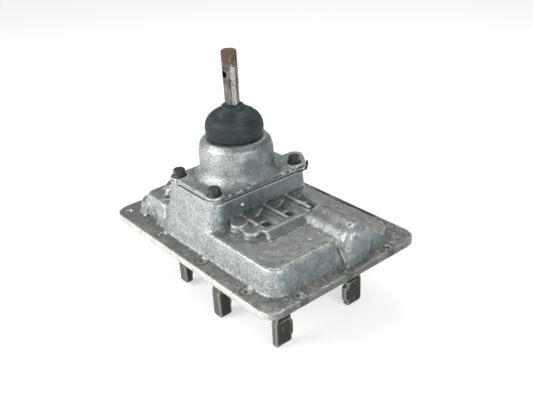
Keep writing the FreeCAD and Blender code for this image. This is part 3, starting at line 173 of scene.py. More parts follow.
class Shader:
    """One material's nodes, joined by sockets that know arithmetic."""

    def __init__(self, name: str) -> None:
        """Make an empty material with a Principled surface."""
        self.material = bpy.data.materials.new(name)
        self.material.use_nodes = True
        self.tree = self.material.node_tree
        self.surface = self.tree.nodes["Principled BSDF"]
        self.place = self.node("ShaderNodeTexCoord", {}, {}, "Object")
        self.facing = self.node("ShaderNodeTexCoord", {}, {}, "Normal")

    def feed(self, socket: bpy.types.NodeSocket, value: "Signal | float | Colour") -> None:
        """Link a signal to a socket, or write a plain value on it; a colour gets an alpha of 1."""
        if isinstance(value, Signal):
            self.tree.links.new(value.socket, socket)
        else:
            socket.default_value = (*value, 1.0) if socket.type == "RGBA" else value

    def node(self, kind: str, settings: dict, inputs: dict, output: str | int = 0) -> Signal:
        """Add a node.

        Args:
            kind: the node's type.
            settings: its properties.
            inputs: values or signals by socket name or number.
            output: the output socket that is wanted.

        Returns:
            The wanted output.
        """
        made = self.tree.nodes.new(kind)
        for name, value in settings.items():
            setattr(made, name, value)
        for name, value in inputs.items():
            self.feed(made.inputs[name], value)
        return Signal(self, made.outputs[output])

    def split(self, vector: Signal) -> tuple[Signal, ...]:
        """The X, Y and Z parts of a vector."""
        parts = self.node("ShaderNodeSeparateXYZ", {}, {0: vector}).socket.node.outputs
        return tuple(Signal(self, part) for part in parts)

    def noise(self, scale: float, detail: float = 4.0, roughness: float = 0.6,
              stretch: Place = (1.0, 1.0, 1.0), shift: Place = (0.0, 0.0, 0.0)) -> Signal:
        """Soft noise in the piece's own space, 0 to 1.

        Args:
            scale: features per metre.
            detail: octaves.
            roughness: strength of the finer octaves.
            stretch: scale of each axis, for drawn-out grain.
            shift: offset that makes two noises differ.

        Returns:
            The noise.
        """
        moved = {"Vector": self.place, "Scale": stretch, "Location": shift}
        inputs = {"Vector": self.node("ShaderNodeMapping", {}, moved), "Scale": scale, "Detail": detail,
                  "Roughness": roughness}
        return self.node("ShaderNodeTexNoise", {}, inputs)

    def carried(self, name: str) -> Signal:
        """A number that the mesh carries at its points, and 0 where it has none."""
        return self.node("ShaderNodeAttribute", {"attribute_name": name}, {}, "Fac")

    def cells(self, scale: float) -> Signal:
        """Distance to the nearest of scattered points, for pits and specks."""
        return self.node("ShaderNodeTexVoronoi", {}, {"Vector": self.place, "Scale": scale}, "Distance")

    def blend(self, factor: Signal | float, low: Signal | Colour, high: Signal | Colour) -> Signal:
        """Mix two colours.

        Args:
            factor: 0 gives low and 1 gives high.
            low: first colour.
            high: second colour.

        Returns:
            The mixed colour.
        """
        settings = {"data_type": "RGBA", "clamp_factor": True}
        return self.node("ShaderNodeMix", settings, {0: factor, 6: low, 7: high}, 2)

    def bump(self, height: Signal, distance: float, strength: float, under: Signal | None = None) -> Signal:
        """Relief from a height signal.

        Args:
            height: 0 to 1.
            distance: depth of the relief in metres.
            strength: share of the relief that is used.
            under: a bump that this one adds to.

        Returns:
            The bent normal.
        """
        inputs = {"Height": height, "Distance": distance, "Strength": strength}
        if under is not None:
            inputs["Normal"] = under
        return self.node("ShaderNodeBump", {}, inputs)

    def nearest(self, centres: tuple[Flat, ...]) -> Signal:
        """Distance to the nearest of some X and Y places, seen from above, in metres."""
        x, y, _ = self.split(self.place)
        return reduce(Signal.least, [((x - cx) ** 2.0 + (y - cy) ** 2.0) ** 0.5 for cx, cy in centres])


def outline_curve(points: tuple[Flat, ...], count: int) -> np.ndarray:
    """A smooth outline through chosen points.

    Each span is a Catmull-Rom cubic: half of (2 p1 + (p2 - p0) t + (2 p0 - 5 p1 + 4 p2 - p3) t^2
    + (3 p1 - p0 - 3 p2 + p3) t^3), with the end points repeated.

    Args:
        points: radius and height of each chosen point.
        count: samples over the whole outline.

    Returns:
        An array of count rows of radius and height.
    """
    p = np.asarray(points, float)
    padded = np.vstack((2 * p[0] - p[1], p, 2 * p[-1] - p[-2]))
    place = np.linspace(0.0, len(p) - 1.0, count)
    span = np.minimum(place.astype(int), len(p) - 2)
    t = (place - span)[:, None]
    p0, p1, p2, p3 = (padded[span + i] for i in range(4))
    return 0.5 * (2 * p1 + (p2 - p0) * t + (2 * p0 - 5 * p1 + 4 * p2 - p3) * t ** 2
                  + (3 * p1 - p0 - 3 * p2 + p3) * t ** 3)


def grid_piece(name: str, points: np.ndarray, around: bool, along: bool) -> bpy.types.Object:
    """A surface on a grid of points.

    Args:
        name: the piece's name.
        points: array of shape (rows, columns, 3), with faces outward when rows turn left about the
            way the columns run.
        around: whether the last row joins the first.
        along: whether the last column joins the first.

    Returns:
        The new object, at the origin.
    """
    rows, columns = points.shape[:2]
    index = np.arange(rows * columns).reshape(rows, columns)
    if around:
        index = np.vstack((index, index[:1]))
    if along:
        index = np.hstack((index, index[:, :1]))
    quads = np.stack((index[:-1, :-1], index[1:, :-1], index[1:, 1:], index[:-1, 1:]), axis=-1)
    return mesh_piece(name, points.reshape(-1, 3), quads.reshape(-1, 4))


def closed_bead(name: str, points: np.ndarray) -> bpy.types.Object:
    """A tube on a grid of points, whose ends are closed by one many-sided face each.

    Args:
        name: the piece's name.
        points: array of shape (around, along, 3); the rows turn left about the way that the columns run.

    Returns:
        The new object, at the origin.
    """
    piece = grid_piece(name, points, True, False)
    mesh = bmesh.new()
    mesh.from_mesh(piece.data)
    bmesh.ops.holes_fill(mesh, edges=[edge for edge in mesh.edges if edge.is_boundary])
    bmesh.ops.recalc_face_normals(mesh, faces=mesh.faces[:])
    mesh.to_mesh(piece.data)
    mesh.free()
    return piece


def mesh_piece(name: str, points: np.ndarray, faces: np.ndarray) -> bpy.types.Object:
    """Put points and equal-sized faces into a smooth-shaded mesh object."""
    mesh = bpy.data.meshes.new(name)
    mesh.vertices.add(len(points))
    mesh.vertices.foreach_set("co", np.asarray(points, np.float32).ravel())
    corners = faces.shape[1]
    mesh.loops.add(faces.size)
    mesh.loops.foreach_set("vertex_index", faces.astype(np.int32).ravel())
    mesh.polygons.add(len(faces))
    mesh.polygons.foreach_set("loop_start", np.arange(0, faces.size, corners, dtype=np.int32))
    mesh.update(calc_edges=True)
    mesh.polygons.foreach_set("use_smooth", np.ones(len(faces), bool))
    mesh.validate()
    piece = bpy.data.objects.new(name, mesh)
    bpy.context.scene.collection.objects.link(piece)
    return piece


def middle_of(node: str) -> Vector:
    """Centre of a CAD node's box."""
    low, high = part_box(node)
    return (low + high) / 2


def solids(*names: str) -> list[bpy.types.Object]:
    """The CAD nodes of those names."""
    return [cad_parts[name] for name in names]


def bolt_places() -> list[Flat]:
    """X and Y of the tower's four bolts, in millimetres."""
    x, y = LEVER_AXIS
    return [(x + i * BOLT_OFFSET[0], y + j * BOLT_OFFSET[1]) for i in (-1, 1) for j in (-1, 1)]


Sockets = dict[str, Signal | float | Colour]


@dataclass(frozen=True)
class Finish:
    """A material that can be laid on pieces.

    Attributes:
        name: the material's name.
    """

    name: str

    def sockets(self, s: Shader) -> Sockets:
        """Build the finish's nodes.

        Args:
            s: the shader that takes the nodes.

        Returns:
            What goes into the surface's sockets, by their names.
        """
        raise NotImplementedError

    def lay_on(self, *pieces: bpy.types.Object) -> None:
        """Make the material and give it to pieces as their only one."""
        s = Shader(self.name)
        for name, value in self.sockets(s).items():
            s.feed(s.surface.inputs[name], value)
        for piece in pieces:
            piece.data.materials.clear()
            piece.data.materials.append(s.material)


class GrimeAndShade(Enum):
    """How much dirt and painted shade in hollows a casting carries: the tower is wiped by hands, the cover
    is not.
    """

    HANDLED = 0.55
    STANDING = 1.0


@dataclass(frozen=True)
class CastAluminium(Finish):
    """Weathered sand-cast aluminium: pale skin, chalky bloom with painted front light, painted shade on side
    and top faces, painted edge highlights, oily dirt and painted shade in its corners.

    Attributes:
        grime_and_shade: how much dirt and painted shade in hollows it carries.
        bolt_marks: X and Y of the case screws, in metres, that left rings on the flange.
        flange_top: height under which the flange's own dirt shows.
        top_shade: how much of the painted shade the faces that look up get.
        chalk_and_light_until: Y in metres behind which the front's bloom and painted front light have gone.
    """

    grime_and_shade: GrimeAndShade
    bolt_marks: tuple[Flat, ...] = ()
    flange_top: float = 0.010
    top_shade: float = 1.0
    chalk_and_light_until: float = 1.0

    def sockets(self, s: Shader) -> Sockets:
        """Build the nodes."""
        edge, hollow = s.carried("edge"), s.carried("hollow")
        side, front, up = s.split(s.facing)
        x, y, z = s.split(s.place)
        to_front = (-front).rise(0.25, 0.85) * y.rise(self.chalk_and_light_until, self.chalk_and_light_until - 0.02)
        to_top = up.rise(0.45, 0.92)
        to_side = side.rise(0.35, 0.9)

        broad = s.noise(13.0, 3.0, 0.55)
        cloud = s.noise(75.0, 6.0, 0.7, shift=(3.1, 0.4, 1.7))
        speck = s.noise(430.0, 3.0, 0.7, shift=(0.2, 5.1, 2.2))
        fine = s.noise(900.0, 2.0)
        mottle = (cloud * 0.6 + broad * 0.4).rise(0.38, 0.62)

        # Lit and shaded copies of the skin: top is a darker copy painted on faces that look up, and shade a
        # darker copy painted on side faces, both painted shade.
        skin = s.blend(mottle, (0.22, 0.245, 0.245), (0.36, 0.385, 0.38))
        top = s.blend(mottle, (0.19, 0.205, 0.19), (0.31, 0.325, 0.305))
        shade = s.blend(mottle, (0.15, 0.175, 0.18), (0.25, 0.285, 0.29))
        # The front's chalky bloom also paints the front faces lighter: partly oxide bloom, partly painted
        # front light.
        bloom = (speck * 0.85 + cloud * 0.4).rise(0.46, 0.80)
        chalk_and_front_light = s.blend(bloom, (0.31, 0.34, 0.33), (0.62, 0.655, 0.64))
        colour = s.blend(to_side, s.blend(to_top * self.top_shade, skin, top), shade)
        colour = s.blend(to_front, colour, chalk_and_front_light)
        flecks = (speck + cloud * 0.25).rise(0.68, 0.80) * (to_front * 0.4 + 0.2)
        colour = s.blend(flecks.clipped(), colour, (0.74, 0.77, 0.76))
        # Painted highlight along the edges, partly edge wear: the edge attribute paints a pale colour there.
        bright = (edge * (0.3 + speck * 0.9)).clipped()
        colour = s.blend(bright * 0.75, colour, (0.68, 0.71, 0.70))

        share = self.grime_and_shade.value
        low = z.rise(0.016, 0.009) * to_top
        film = s.noise(170.0, 6.0, 0.78, shift=(7.7, 2.0, 0.3)) * 0.7 + broad * 0.3
        # Dirt and painted shade: an oil film, the low faces that look up and the hollow attribute darken the
        # colour; the hollow attribute paints shade into hollows and corners.
        stain_and_shade = (film + low * 0.09 + hollow * 0.11).rise(0.555, 0.68)
        dirt_and_shade = stain_and_shade * (share * 0.7)
        if self.bolt_marks:
            away = s.nearest(self.bolt_marks)
            ring = away.rise(0.0125, 0.0095) - away.rise(0.0088, 0.0072)
            dirt_and_shade = dirt_and_shade.most(ring * z.rise(0.016, 0.011) * (cloud.rise(0.34, 0.52) * 0.75 + 0.2))
        pits = s.cells(210.0).rise(0.24, 0.08) * speck.rise(0.49, 0.57) * (0.8 * share)
        dirt_and_shade = dirt_and_shade.most(pits).clipped()
        colour = s.blend(dirt_and_shade, colour, s.blend(cloud, (0.04, 0.036, 0.028), (0.12, 0.112, 0.09)))
        # The flange rim is painted paler, cream, on faces that look to the front (partly wear, partly
        # painted front light) and darker on side faces (partly oily dirt, partly painted shade).
        rim = z.rise(self.flange_top + 0.0012, self.flange_top - 0.0006) * (1.0 - to_top)
        pale_patch = (rim * (speck * 0.5 + cloud * 0.6).rise(0.36, 0.6)).clipped()
        colour = s.blend((pale_patch * to_front).clipped(), colour, (0.80, 0.79, 0.73))
        oil_and_shade = rim * to_side * (stain_and_shade * 0.4 + 0.55)
        colour = s.blend(oil_and_shade.clipped(), colour, (0.10, 0.098, 0.078))

        relief = s.bump(speck * 0.5 + fine * 0.2 + cloud * 0.3, 0.0011, 0.6)
        relief = s.bump(pits, -0.0007, 0.6, relief)
        rough = (0.36 + speck * 0.22 + dirt_and_shade * 0.32 - bright * 0.12).clipped()
        metal = (0.9 - dirt_and_shade * 0.75 - flecks * 0.4).clipped()
        return {"Base Color": colour, "Roughness": rough, "Metallic": metal, "Normal": relief}


@dataclass(frozen=True)
class DarkSteel(Finish):
    """Oiled forged steel, light brown where a film of oil has dried, with painted light on the faces that
    look to the front.

    Attributes:
        light: the lit colour, painted on the faces that look to the front.
        dark: the shaded colour, painted on the other faces.
        roughness: base roughness.
    """

    light: Colour = (0.10, 0.10, 0.088)
    dark: Colour = (0.018, 0.018, 0.018)
    roughness: float = 0.42

    def sockets(self, s: Shader) -> Sockets:
        """Build the nodes."""
        _, front, _ = s.split(s.facing)
        cloud = s.noise(90.0)
        grain = s.noise(700.0, 3.0)
        # Painted light: faces that look to the front get the lit colour, the others the shaded one.
        toned = (-front).rise(0.2, 0.8) * (0.75 + cloud * 0.4)
        colour = s.blend(toned.clipped(), self.dark, self.light)
        dry = (cloud + grain * 0.2).rise(0.62, 0.76) * 0.4
        colour = s.blend(dry, colour, (0.12, 0.108, 0.085))
        relief = s.bump(grain * 0.6 + cloud * 0.4, 0.0004, 0.5)
        rough = (self.roughness + cloud * 0.2).clipped()
        return {"Base Color": colour, "Roughness": rough, "Metallic": 0.6, "Normal": relief}


@dataclass(frozen=True)
class ForgedFork(Finish):
    """Forged fork steel: painted light, olive grey where it looks to the front, painted shade, near black,
    elsewhere, and painted highlights on its edges.
    """

    def sockets(self, s: Shader) -> Sockets:
        """Build the nodes."""
        edge = s.carried("edge")
        _, front, _ = s.split(s.facing)
        cloud = s.noise(70.0)
        grain = s.noise(600.0, 3.0)
        streak = s.noise(160.0, 3.0, stretch=(1.0, 1.0, 0.2))
        # Painted light: faces that look to the front get a lit olive grey, the others a shaded near black.
        toned = (-front).rise(0.25, 0.85) * (0.75 + cloud * 0.4)
        colour = s.blend(toned.clipped(), (0.026, 0.026, 0.024), (0.135, 0.135, 0.118))
        colour = s.blend(streak.rise(0.58, 0.7) * 0.5, colour, (0.16, 0.16, 0.145))
        # Painted highlight along the fork's edges.
        colour = s.blend((edge * (0.3 + grain)).clipped() * 0.7, colour, (0.42, 0.42, 0.39))
        colour = s.blend((cloud + grain * 0.2).rise(0.66, 0.8) * 0.5, colour, (0.10, 0.075, 0.05))
        relief = s.bump(grain * 0.5 + cloud * 0.5, 0.0006, 0.55)
        rough = (0.34 + cloud * 0.25).clipped()
        return {"Base Color": colour, "Roughness": rough, "Metallic": 0.55, "Normal": relief}


@dataclass(frozen=True)
class BrightSteel(Finish):
    """Ground or plated steel with fine turning lines.

    Attributes:
        tone: its colour.
        roughness: base roughness.
    """

    tone: Colour = (0.46, 0.46, 0.45)
    roughness: float = 0.28

    def sockets(self, s: Shader) -> Sockets:
        """Build the nodes."""
        lines = s.noise(900.0, 2.0, 0.5, stretch=(1.0, 0.05, 0.05))
        cloud = s.noise(120.0)
        dull = tuple(0.45 * part for part in self.tone)
        colour = s.blend(cloud.rise(0.42, 0.7), self.tone, dull)
        rough = (self.roughness + cloud * 0.2 + lines * 0.08).clipped()
        relief = s.bump(lines, 0.0001, 0.4)
        return {"Base Color": colour, "Roughness": rough, "Metallic": 1.0, "Normal": relief}


@dataclass(frozen=True)
class RustyRod(Finish):
    """Worn steel rod: rust towards its top, oil round the cross hole, long drag marks, and a painted
    highlight strip down the side that looks to +X.

    Attributes:
        top: height of the rod's end.
        hole: height of the cross hole.
    """

    top: float
    hole: float

    def sockets(self, s: Shader) -> Sockets:
        """Build the nodes."""
        _, _, z = s.split(s.place)
        streak = s.noise(420.0, 4.0, 0.65, stretch=(1.0, 1.0, 0.12))
        cloud = s.noise(140.0, 5.0, 0.65, shift=(1.0, 2.0, 3.0))
        fine = s.noise(1300.0, 2.0)
        colour = s.blend(streak.rise(0.35, 0.68), (0.085, 0.08, 0.07), (0.30, 0.29, 0.265))
        side, front, _ = s.split(s.facing)
        # A painted highlight: a pale strip down the rod where its faces look to +X.
        painted_highlight_strip = (side * 0.95 - front * 0.30).rise(0.90, 0.99) * streak.rise(0.30, 0.5)
        colour = s.blend(painted_highlight_strip.clipped(), colour, (0.46, 0.45, 0.42))
        near_top = z.rise(self.top - 0.040, self.top - 0.004)
        rust = ((cloud + near_top * 0.30).rise(0.58, 0.78)).clipped()
        colour = s.blend(rust, colour, s.blend(fine, (0.075, 0.048, 0.03), (0.17, 0.115, 0.078)))
        oil = (z - self.hole).size().rise(0.016, 0.004) * cloud.rise(0.50, 0.62)
        colour = s.blend((oil * 0.85).clipped(), colour, (0.035, 0.03, 0.025))
        relief = s.bump(cloud * 0.5 + fine * 0.3 + streak * 0.3, 0.0004, 0.6)
        rough = (0.28 + rust * 0.4 + cloud * 0.15).clipped()
        metal = (1.0 - rust * 0.75).clipped()
        return {"Base Color": colour, "Roughness": rough, "Metallic": metal, "Normal": relief}


@dataclass(frozen=True)
class SlateRubber(Finish):
    """Aged slate-coloured rubber, with a faint bloom, and dust with a painted sheen on the faces that look
    up.
    """

    def sockets(self, s: Shader) -> Sockets:
        """Build the nodes."""
        _, _, up = s.split(s.facing)
        bands = s.noise(260.0, 3.0, stretch=(0.08, 0.08, 1.0))
        cloud = s.noise(60.0)
        fine = s.noise(1500.0, 2.0)
        pale_patch = (bands * 0.5 + cloud * 0.5).rise(0.35, 0.65)
        colour = s.blend(pale_patch, (0.014, 0.022, 0.024), (0.036, 0.050, 0.053))
        # Dust and a painted sheen: the faces that look up are painted paler.
        dust_and_sheen = up.rise(0.2, 0.9) * (cloud * 0.6 + fine * 0.4).rise(0.45, 0.7) * 0.35
        colour = s.blend(dust_and_sheen, colour, (0.12, 0.13, 0.13))
        relief = s.bump(fine * 0.6 + bands * 0.4, 0.0003, 0.5)
        rough = (0.50 + cloud * 0.18).clipped()
        return {"Base Color": colour, "Roughness": rough, "Specular IOR Level": 0.35, "Normal": relief}


@dataclass(frozen=True)
class DullStuff(Finish):
    """A dull stuff with one grain, such as dried sealant or fibre sheet.

    Attributes:
        low: colour in the grain's hollows.
        high: colour on its crests.
        scale: features per metre.
        rough: roughness in the hollows, and how much more the crests have.
        depth: depth of the relief in metres.
        strength: share of the relief that is used.
    """

    low: Colour
    high: Colour
    scale: float
    rough: Flat
    depth: float
    strength: float

    def sockets(self, s: Shader) -> Sockets:
        """Build the nodes."""
        grain = s.noise(self.scale, 3.0)
        rough = (self.rough[0] + grain * self.rough[1]).clipped()
        return {"Base Color": s.blend(grain, self.low, self.high), "Roughness": rough,
                "Normal": s.bump(grain, self.depth, self.strength)}


@dataclass(frozen=True)
class PaleFloor(Finish):
    """A pale floor that is white to the eye and to gloss.

    Attributes:
        glow: light that it gives off towards the camera and glossy faces.
    """

    glow: float = 0.56

    def sockets(self, s: Shader) -> Sockets:
        """Build the nodes."""
        camera = s.node("ShaderNodeLightPath", {}, {}, "Is Camera Ray")
        glossy = Signal(s, camera.socket.node.outputs["Is Glossy Ray"])
        return {"Base Color": (0.62, 0.62, 0.62), "Roughness": 0.9, "Specular IOR Level": 0.0,
                "Emission Color": (1.0, 1.0, 1.0), "Emission Strength": camera.most(glossy) * self.glow}


def baked_mesh(piece: bpy.types.Object) -> bpy.types.Mesh:
    """A new mesh of a piece with its modifiers applied."""
    return bpy.data.meshes.new_from_object(piece.evaluated_get(bpy.context.evaluated_depsgraph_get()))


class Net:
    """An even mesh of four-sided cells, with the sums over neighbours that smoothing needs."""

    def __init__(self, points: np.ndarray, quads: np.ndarray) -> None:
        """Keep the points, in metres, and note which points share a side."""
        self.points = points
        self.quads = quads
        self.count = len(points)
        sides = np.vstack([quads[:, [i, (i + 1) % 4]] for i in range(4)])
        self.start = np.concatenate((sides[:, 0], sides[:, 1]))
        self.end = np.concatenate((sides[:, 1], sides[:, 0]))
        self.share = 1.0 / np.maximum(np.bincount(self.start, minlength=self.count), 1)

    @classmethod
    def over(cls, node: str, cell: float) -> "Net":
        """Cover a solid with even cells and set every point on the solid's nearest face.

        Args:
            node: the CAD node.
            cell: width of a cell in metres.

        Returns:
            The net.
        """
        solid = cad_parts[node]
        work = bpy.data.objects.new(f"{node}_cells", solid.data.copy())
        bpy.context.scene.collection.objects.link(work)
        work.modifiers.new("merge", "WELD").merge_threshold = 0.01 * MM
        cells = work.modifiers.new("cells", "REMESH")
        cells.mode = "VOXEL"
        cells.voxel_size = cell
        seat = work.modifiers.new("seat", "SHRINKWRAP")
        seat.target = solid
        seat.wrap_method = "NEAREST_SURFACEPOINT"
        mesh = baked_mesh(work)
        points = np.empty(len(mesh.vertices) * 3, np.float32)
        mesh.vertices.foreach_get("co", points)
        corners = np.empty(len(mesh.loops), np.int32)
        mesh.loops.foreach_get("vertex_index", corners)
        copy = work.data
        bpy.data.objects.remove(work)
        for spent in (copy, mesh):
            bpy.data.meshes.remove(spent)
        return cls(points.reshape(-1, 3).astype(float), corners.reshape(-1, 4))

    def _sums(self, at: np.ndarray, values: np.ndarray) -> np.ndarray:
        """Sum rows of three values at the points whose numbers stand in at."""
        return np.stack([np.bincount(at, values[:, k], self.count) for k in range(3)], axis=1)

    def average(self, values: np.ndarray) -> np.ndarray:
        """Mean of each point's neighbours, for values in rows of three."""
        return self._sums(self.start, values[self.end]) * self.share[:, None]

    def normals(self) -> np.ndarray:
        """Outward normals: the cross product of each cell's diagonals, summed at its corners."""
        a, b, c, d = (self.points[self.quads[:, i]] for i in range(4))
        total = self._sums(self.quads.ravel(), np.repeat(np.cross(c - a, d - b), 4, axis=0))
        return total / np.maximum(np.linalg.norm(total, axis=1, keepdims=True), 1e-12)

    def relief(self, steps: int) -> np.ndarray:
        """How far each point stands out of the surface around it.

        Args:
            steps: rounds of averaging, which set how wide the surroundings are.

        Returns:
            The distance along the normal in metres, below 0 in a hollow.
        """
        smooth = self.points
        for _ in range(steps):
            smooth = self.average(smooth)
        return np.einsum("ij,ij->i", self.points - smooth, self.normals())


def unevenness(points: np.ndarray, wavelength: float, seed: float, waves: int = 18) -> np.ndarray:
    """Uneven height in space.

    The sum over k of cos(2 pi (d_k . p) / (wavelength s_k) + phase_k), times sqrt(2 / waves). The
    directions d_k are spread evenly over a sphere by the golden angle, the stretches s_k run from
    0.7 to 1.3, and phase_k is 1.7 k^2 + 5.1 seed.

    Args:
        points: places in metres.
        wavelength: middle wavelength in metres.
        seed: shifts the pattern.
        waves: number of plane waves.

    Returns:
        About -1 to 1 for each point.
    """
    k = np.arange(waves) + 0.5
    height = 1.0 - 2.0 * k / waves
    turn = GOLDEN_ANGLE * k + seed
    flat = np.sqrt(1.0 - height ** 2)
    direction = np.stack((flat * np.cos(turn), flat * np.sin(turn), height))
    stretch = 0.7 + 0.6 * np.mod(GOLDEN_RATIO * k, 1.0)
    phase = 1.7 * k * k + 5.1 * seed
    angle = points @ direction * (2 * np.pi / wavelength) / stretch + phase
    return math.sqrt(2.0 / waves) * np.cos(angle).sum(axis=1)


def ease(values: np.ndarray, low: float, high: float) -> np.ndarray:
    """A smooth step from 0 at low to 1 at high: t t (3 - 2 t)."""
    t = np.clip((values - low) / (high - low), 0.0, 1.0)
    return t * t * (3.0 - 2.0 * t)


def thinned(piece: bpy.types.Object, most: int) -> bpy.types.Object:
    """Merge cells, the flattest ones first, until a piece is light enough.

    Args:
        piece: a piece of four-sided cells.
        most: number of triangles that may stay.

    Returns:
        The piece.
    """
    count = 2 * len(piece.data.polygons)
    if count > most:
        piece.modifiers.new("thin", "DECIMATE").ratio = most / count
        light, heavy = baked_mesh(piece), piece.data
        piece.modifiers.clear()
        piece.data = light
        bpy.data.meshes.remove(heavy)
    return piece


class Axis(Enum):
    """The direction of a bore."""

    X = 0
    Y = 1
    Z = 2


@dataclass(frozen=True)
class Seat:
    """A bored or drilled place that stays as it was machined.

    Attributes:
        through: a point on its axis, in millimetres.
        along: the way that its axis runs.
        radius: the bore's radius in millimetres.
    """

    through: Place
    along: Axis
    radius: float

    def distance(self, points: np.ndarray) -> np.ndarray:
        """How far points, in metres, lie outside the bore, in millimetres."""
        across = np.delete(points / MM - np.asarray(self.through), self.along.value, axis=1)
        return np.linalg.norm(across, axis=1) - self.radius


@dataclass(frozen=True)
class Mark:
    """A dish or pip in the casting, or a low raised line along a bent path.

    Attributes:
        path: its middle, or the corners of its path, in millimetres.
        radius: its radius, or half the line's width, in millimetres.
        height: how far it stands out, in millimetres; below 0 for a dish.
    """

    path: tuple[Place, ...]
    radius: float
    height: float

    def over(self, points: np.ndarray) -> np.ndarray:
        """Height exp(-(d / radius)^4), where d is the distance to the nearest run of the path."""
        corners = np.asarray(self.path)
        nearest = np.full(len(points), np.inf)
        for start, end in zip(corners, corners[1:] if len(corners) > 1 else corners):
            run = end - start
            share = np.clip((points - start) @ run / ((run @ run) or 1.0), 0.0, 1.0)
            away = np.linalg.norm(points - start - share[:, None] * run, axis=1)
            nearest = np.minimum(nearest, away)
        return self.height * np.exp(-(nearest / self.radius) ** 4)


@dataclass(frozen=True)
class Zone:
    """A box in which the casting is rounded and grained otherwise than elsewhere.

    Attributes:
        low: the box's lower corner, in millimetres.
        high: its upper corner, in millimetres.
        fill_steps: rounds that fill inner corners there.
        wear_steps: rounds that round outer corners there.
        grain: share of the sand grain that is left there.
    """

    low: Place
    high: Place
    fill_steps: int
    wear_steps: int
    grain: float = 1.0

    def holds(self, points: np.ndarray) -> np.ndarray:
        """Which points, in metres, lie in the box."""
        low, high = np.asarray(self.low) * MM, np.asarray(self.high) * MM
        return np.all((points > low) & (points < high), axis=1)


@dataclass(frozen=True)
class Foot:
    """A flared foot round the bottom of an upright round wall.

    Attributes:
        centre: X and Y of the wall's axis, in millimetres.
        inner: the wall's radius.
        outer: radius at which the foot meets the face that it stands on.
        base: height of that face.
        top: height at which the foot leaves the wall.
        reach: distance in X at which the face ends, where the foot has faded out.
        fade: distances before the face's end between which the foot fades out.
        over: how far above the foot's top the wall is pressed together.
        under: how far below that top the pressed wall begins.
        wall: how far inside and outside its radius a point still belongs to the wall.
    """

    centre: Flat
    inner: float
    outer: float
    base: float
    top: float
    reach: float
    fade: Flat = (0.5, 7.0)
    over: float = 6.0
    under: float = 1.0
    wall: Flat = (2.5, 1.6)

    def heights(self, points: np.ndarray) -> np.ndarray:
        """New heights of points, all in millimetres.

        Outside the wall a point rises to base + (top - base) (1 - s), where s goes smoothly from 0 at
        the inner radius to 1 at the outer one. On the wall the stretch from base to top + over is
        pressed together into the last of it, from top - under. Both fade out before the face's end.

        Args:
            points: places in millimetres.

        Returns:
            The height of each point.
        """
        left = ease(self.reach - np.abs(points[:, 0] - self.centre[0]), *self.fade)
        rho = np.linalg.norm(points[:, :2] - np.asarray(self.centre), axis=1)
        z = points[:, 2]
        level = self.base + (self.top - self.base) * (1.0 - ease(rho, self.inner, self.outer)) * left
        beyond = rho > self.inner + self.wall[1]
        on_wall = (rho < self.inner + self.wall[1]) & (rho > self.inner - self.wall[0])
        on_wall &= (z > self.base) & (z < self.top + self.over)
        share = (z - self.base) * (self.over + self.under) / (self.top + self.over - self.base)
        raised = np.where(beyond & (z > self.base - 2.0), np.maximum(z, level), z)
        return np.where(on_wall, z + left * (self.top - self.under + share - z), raised)


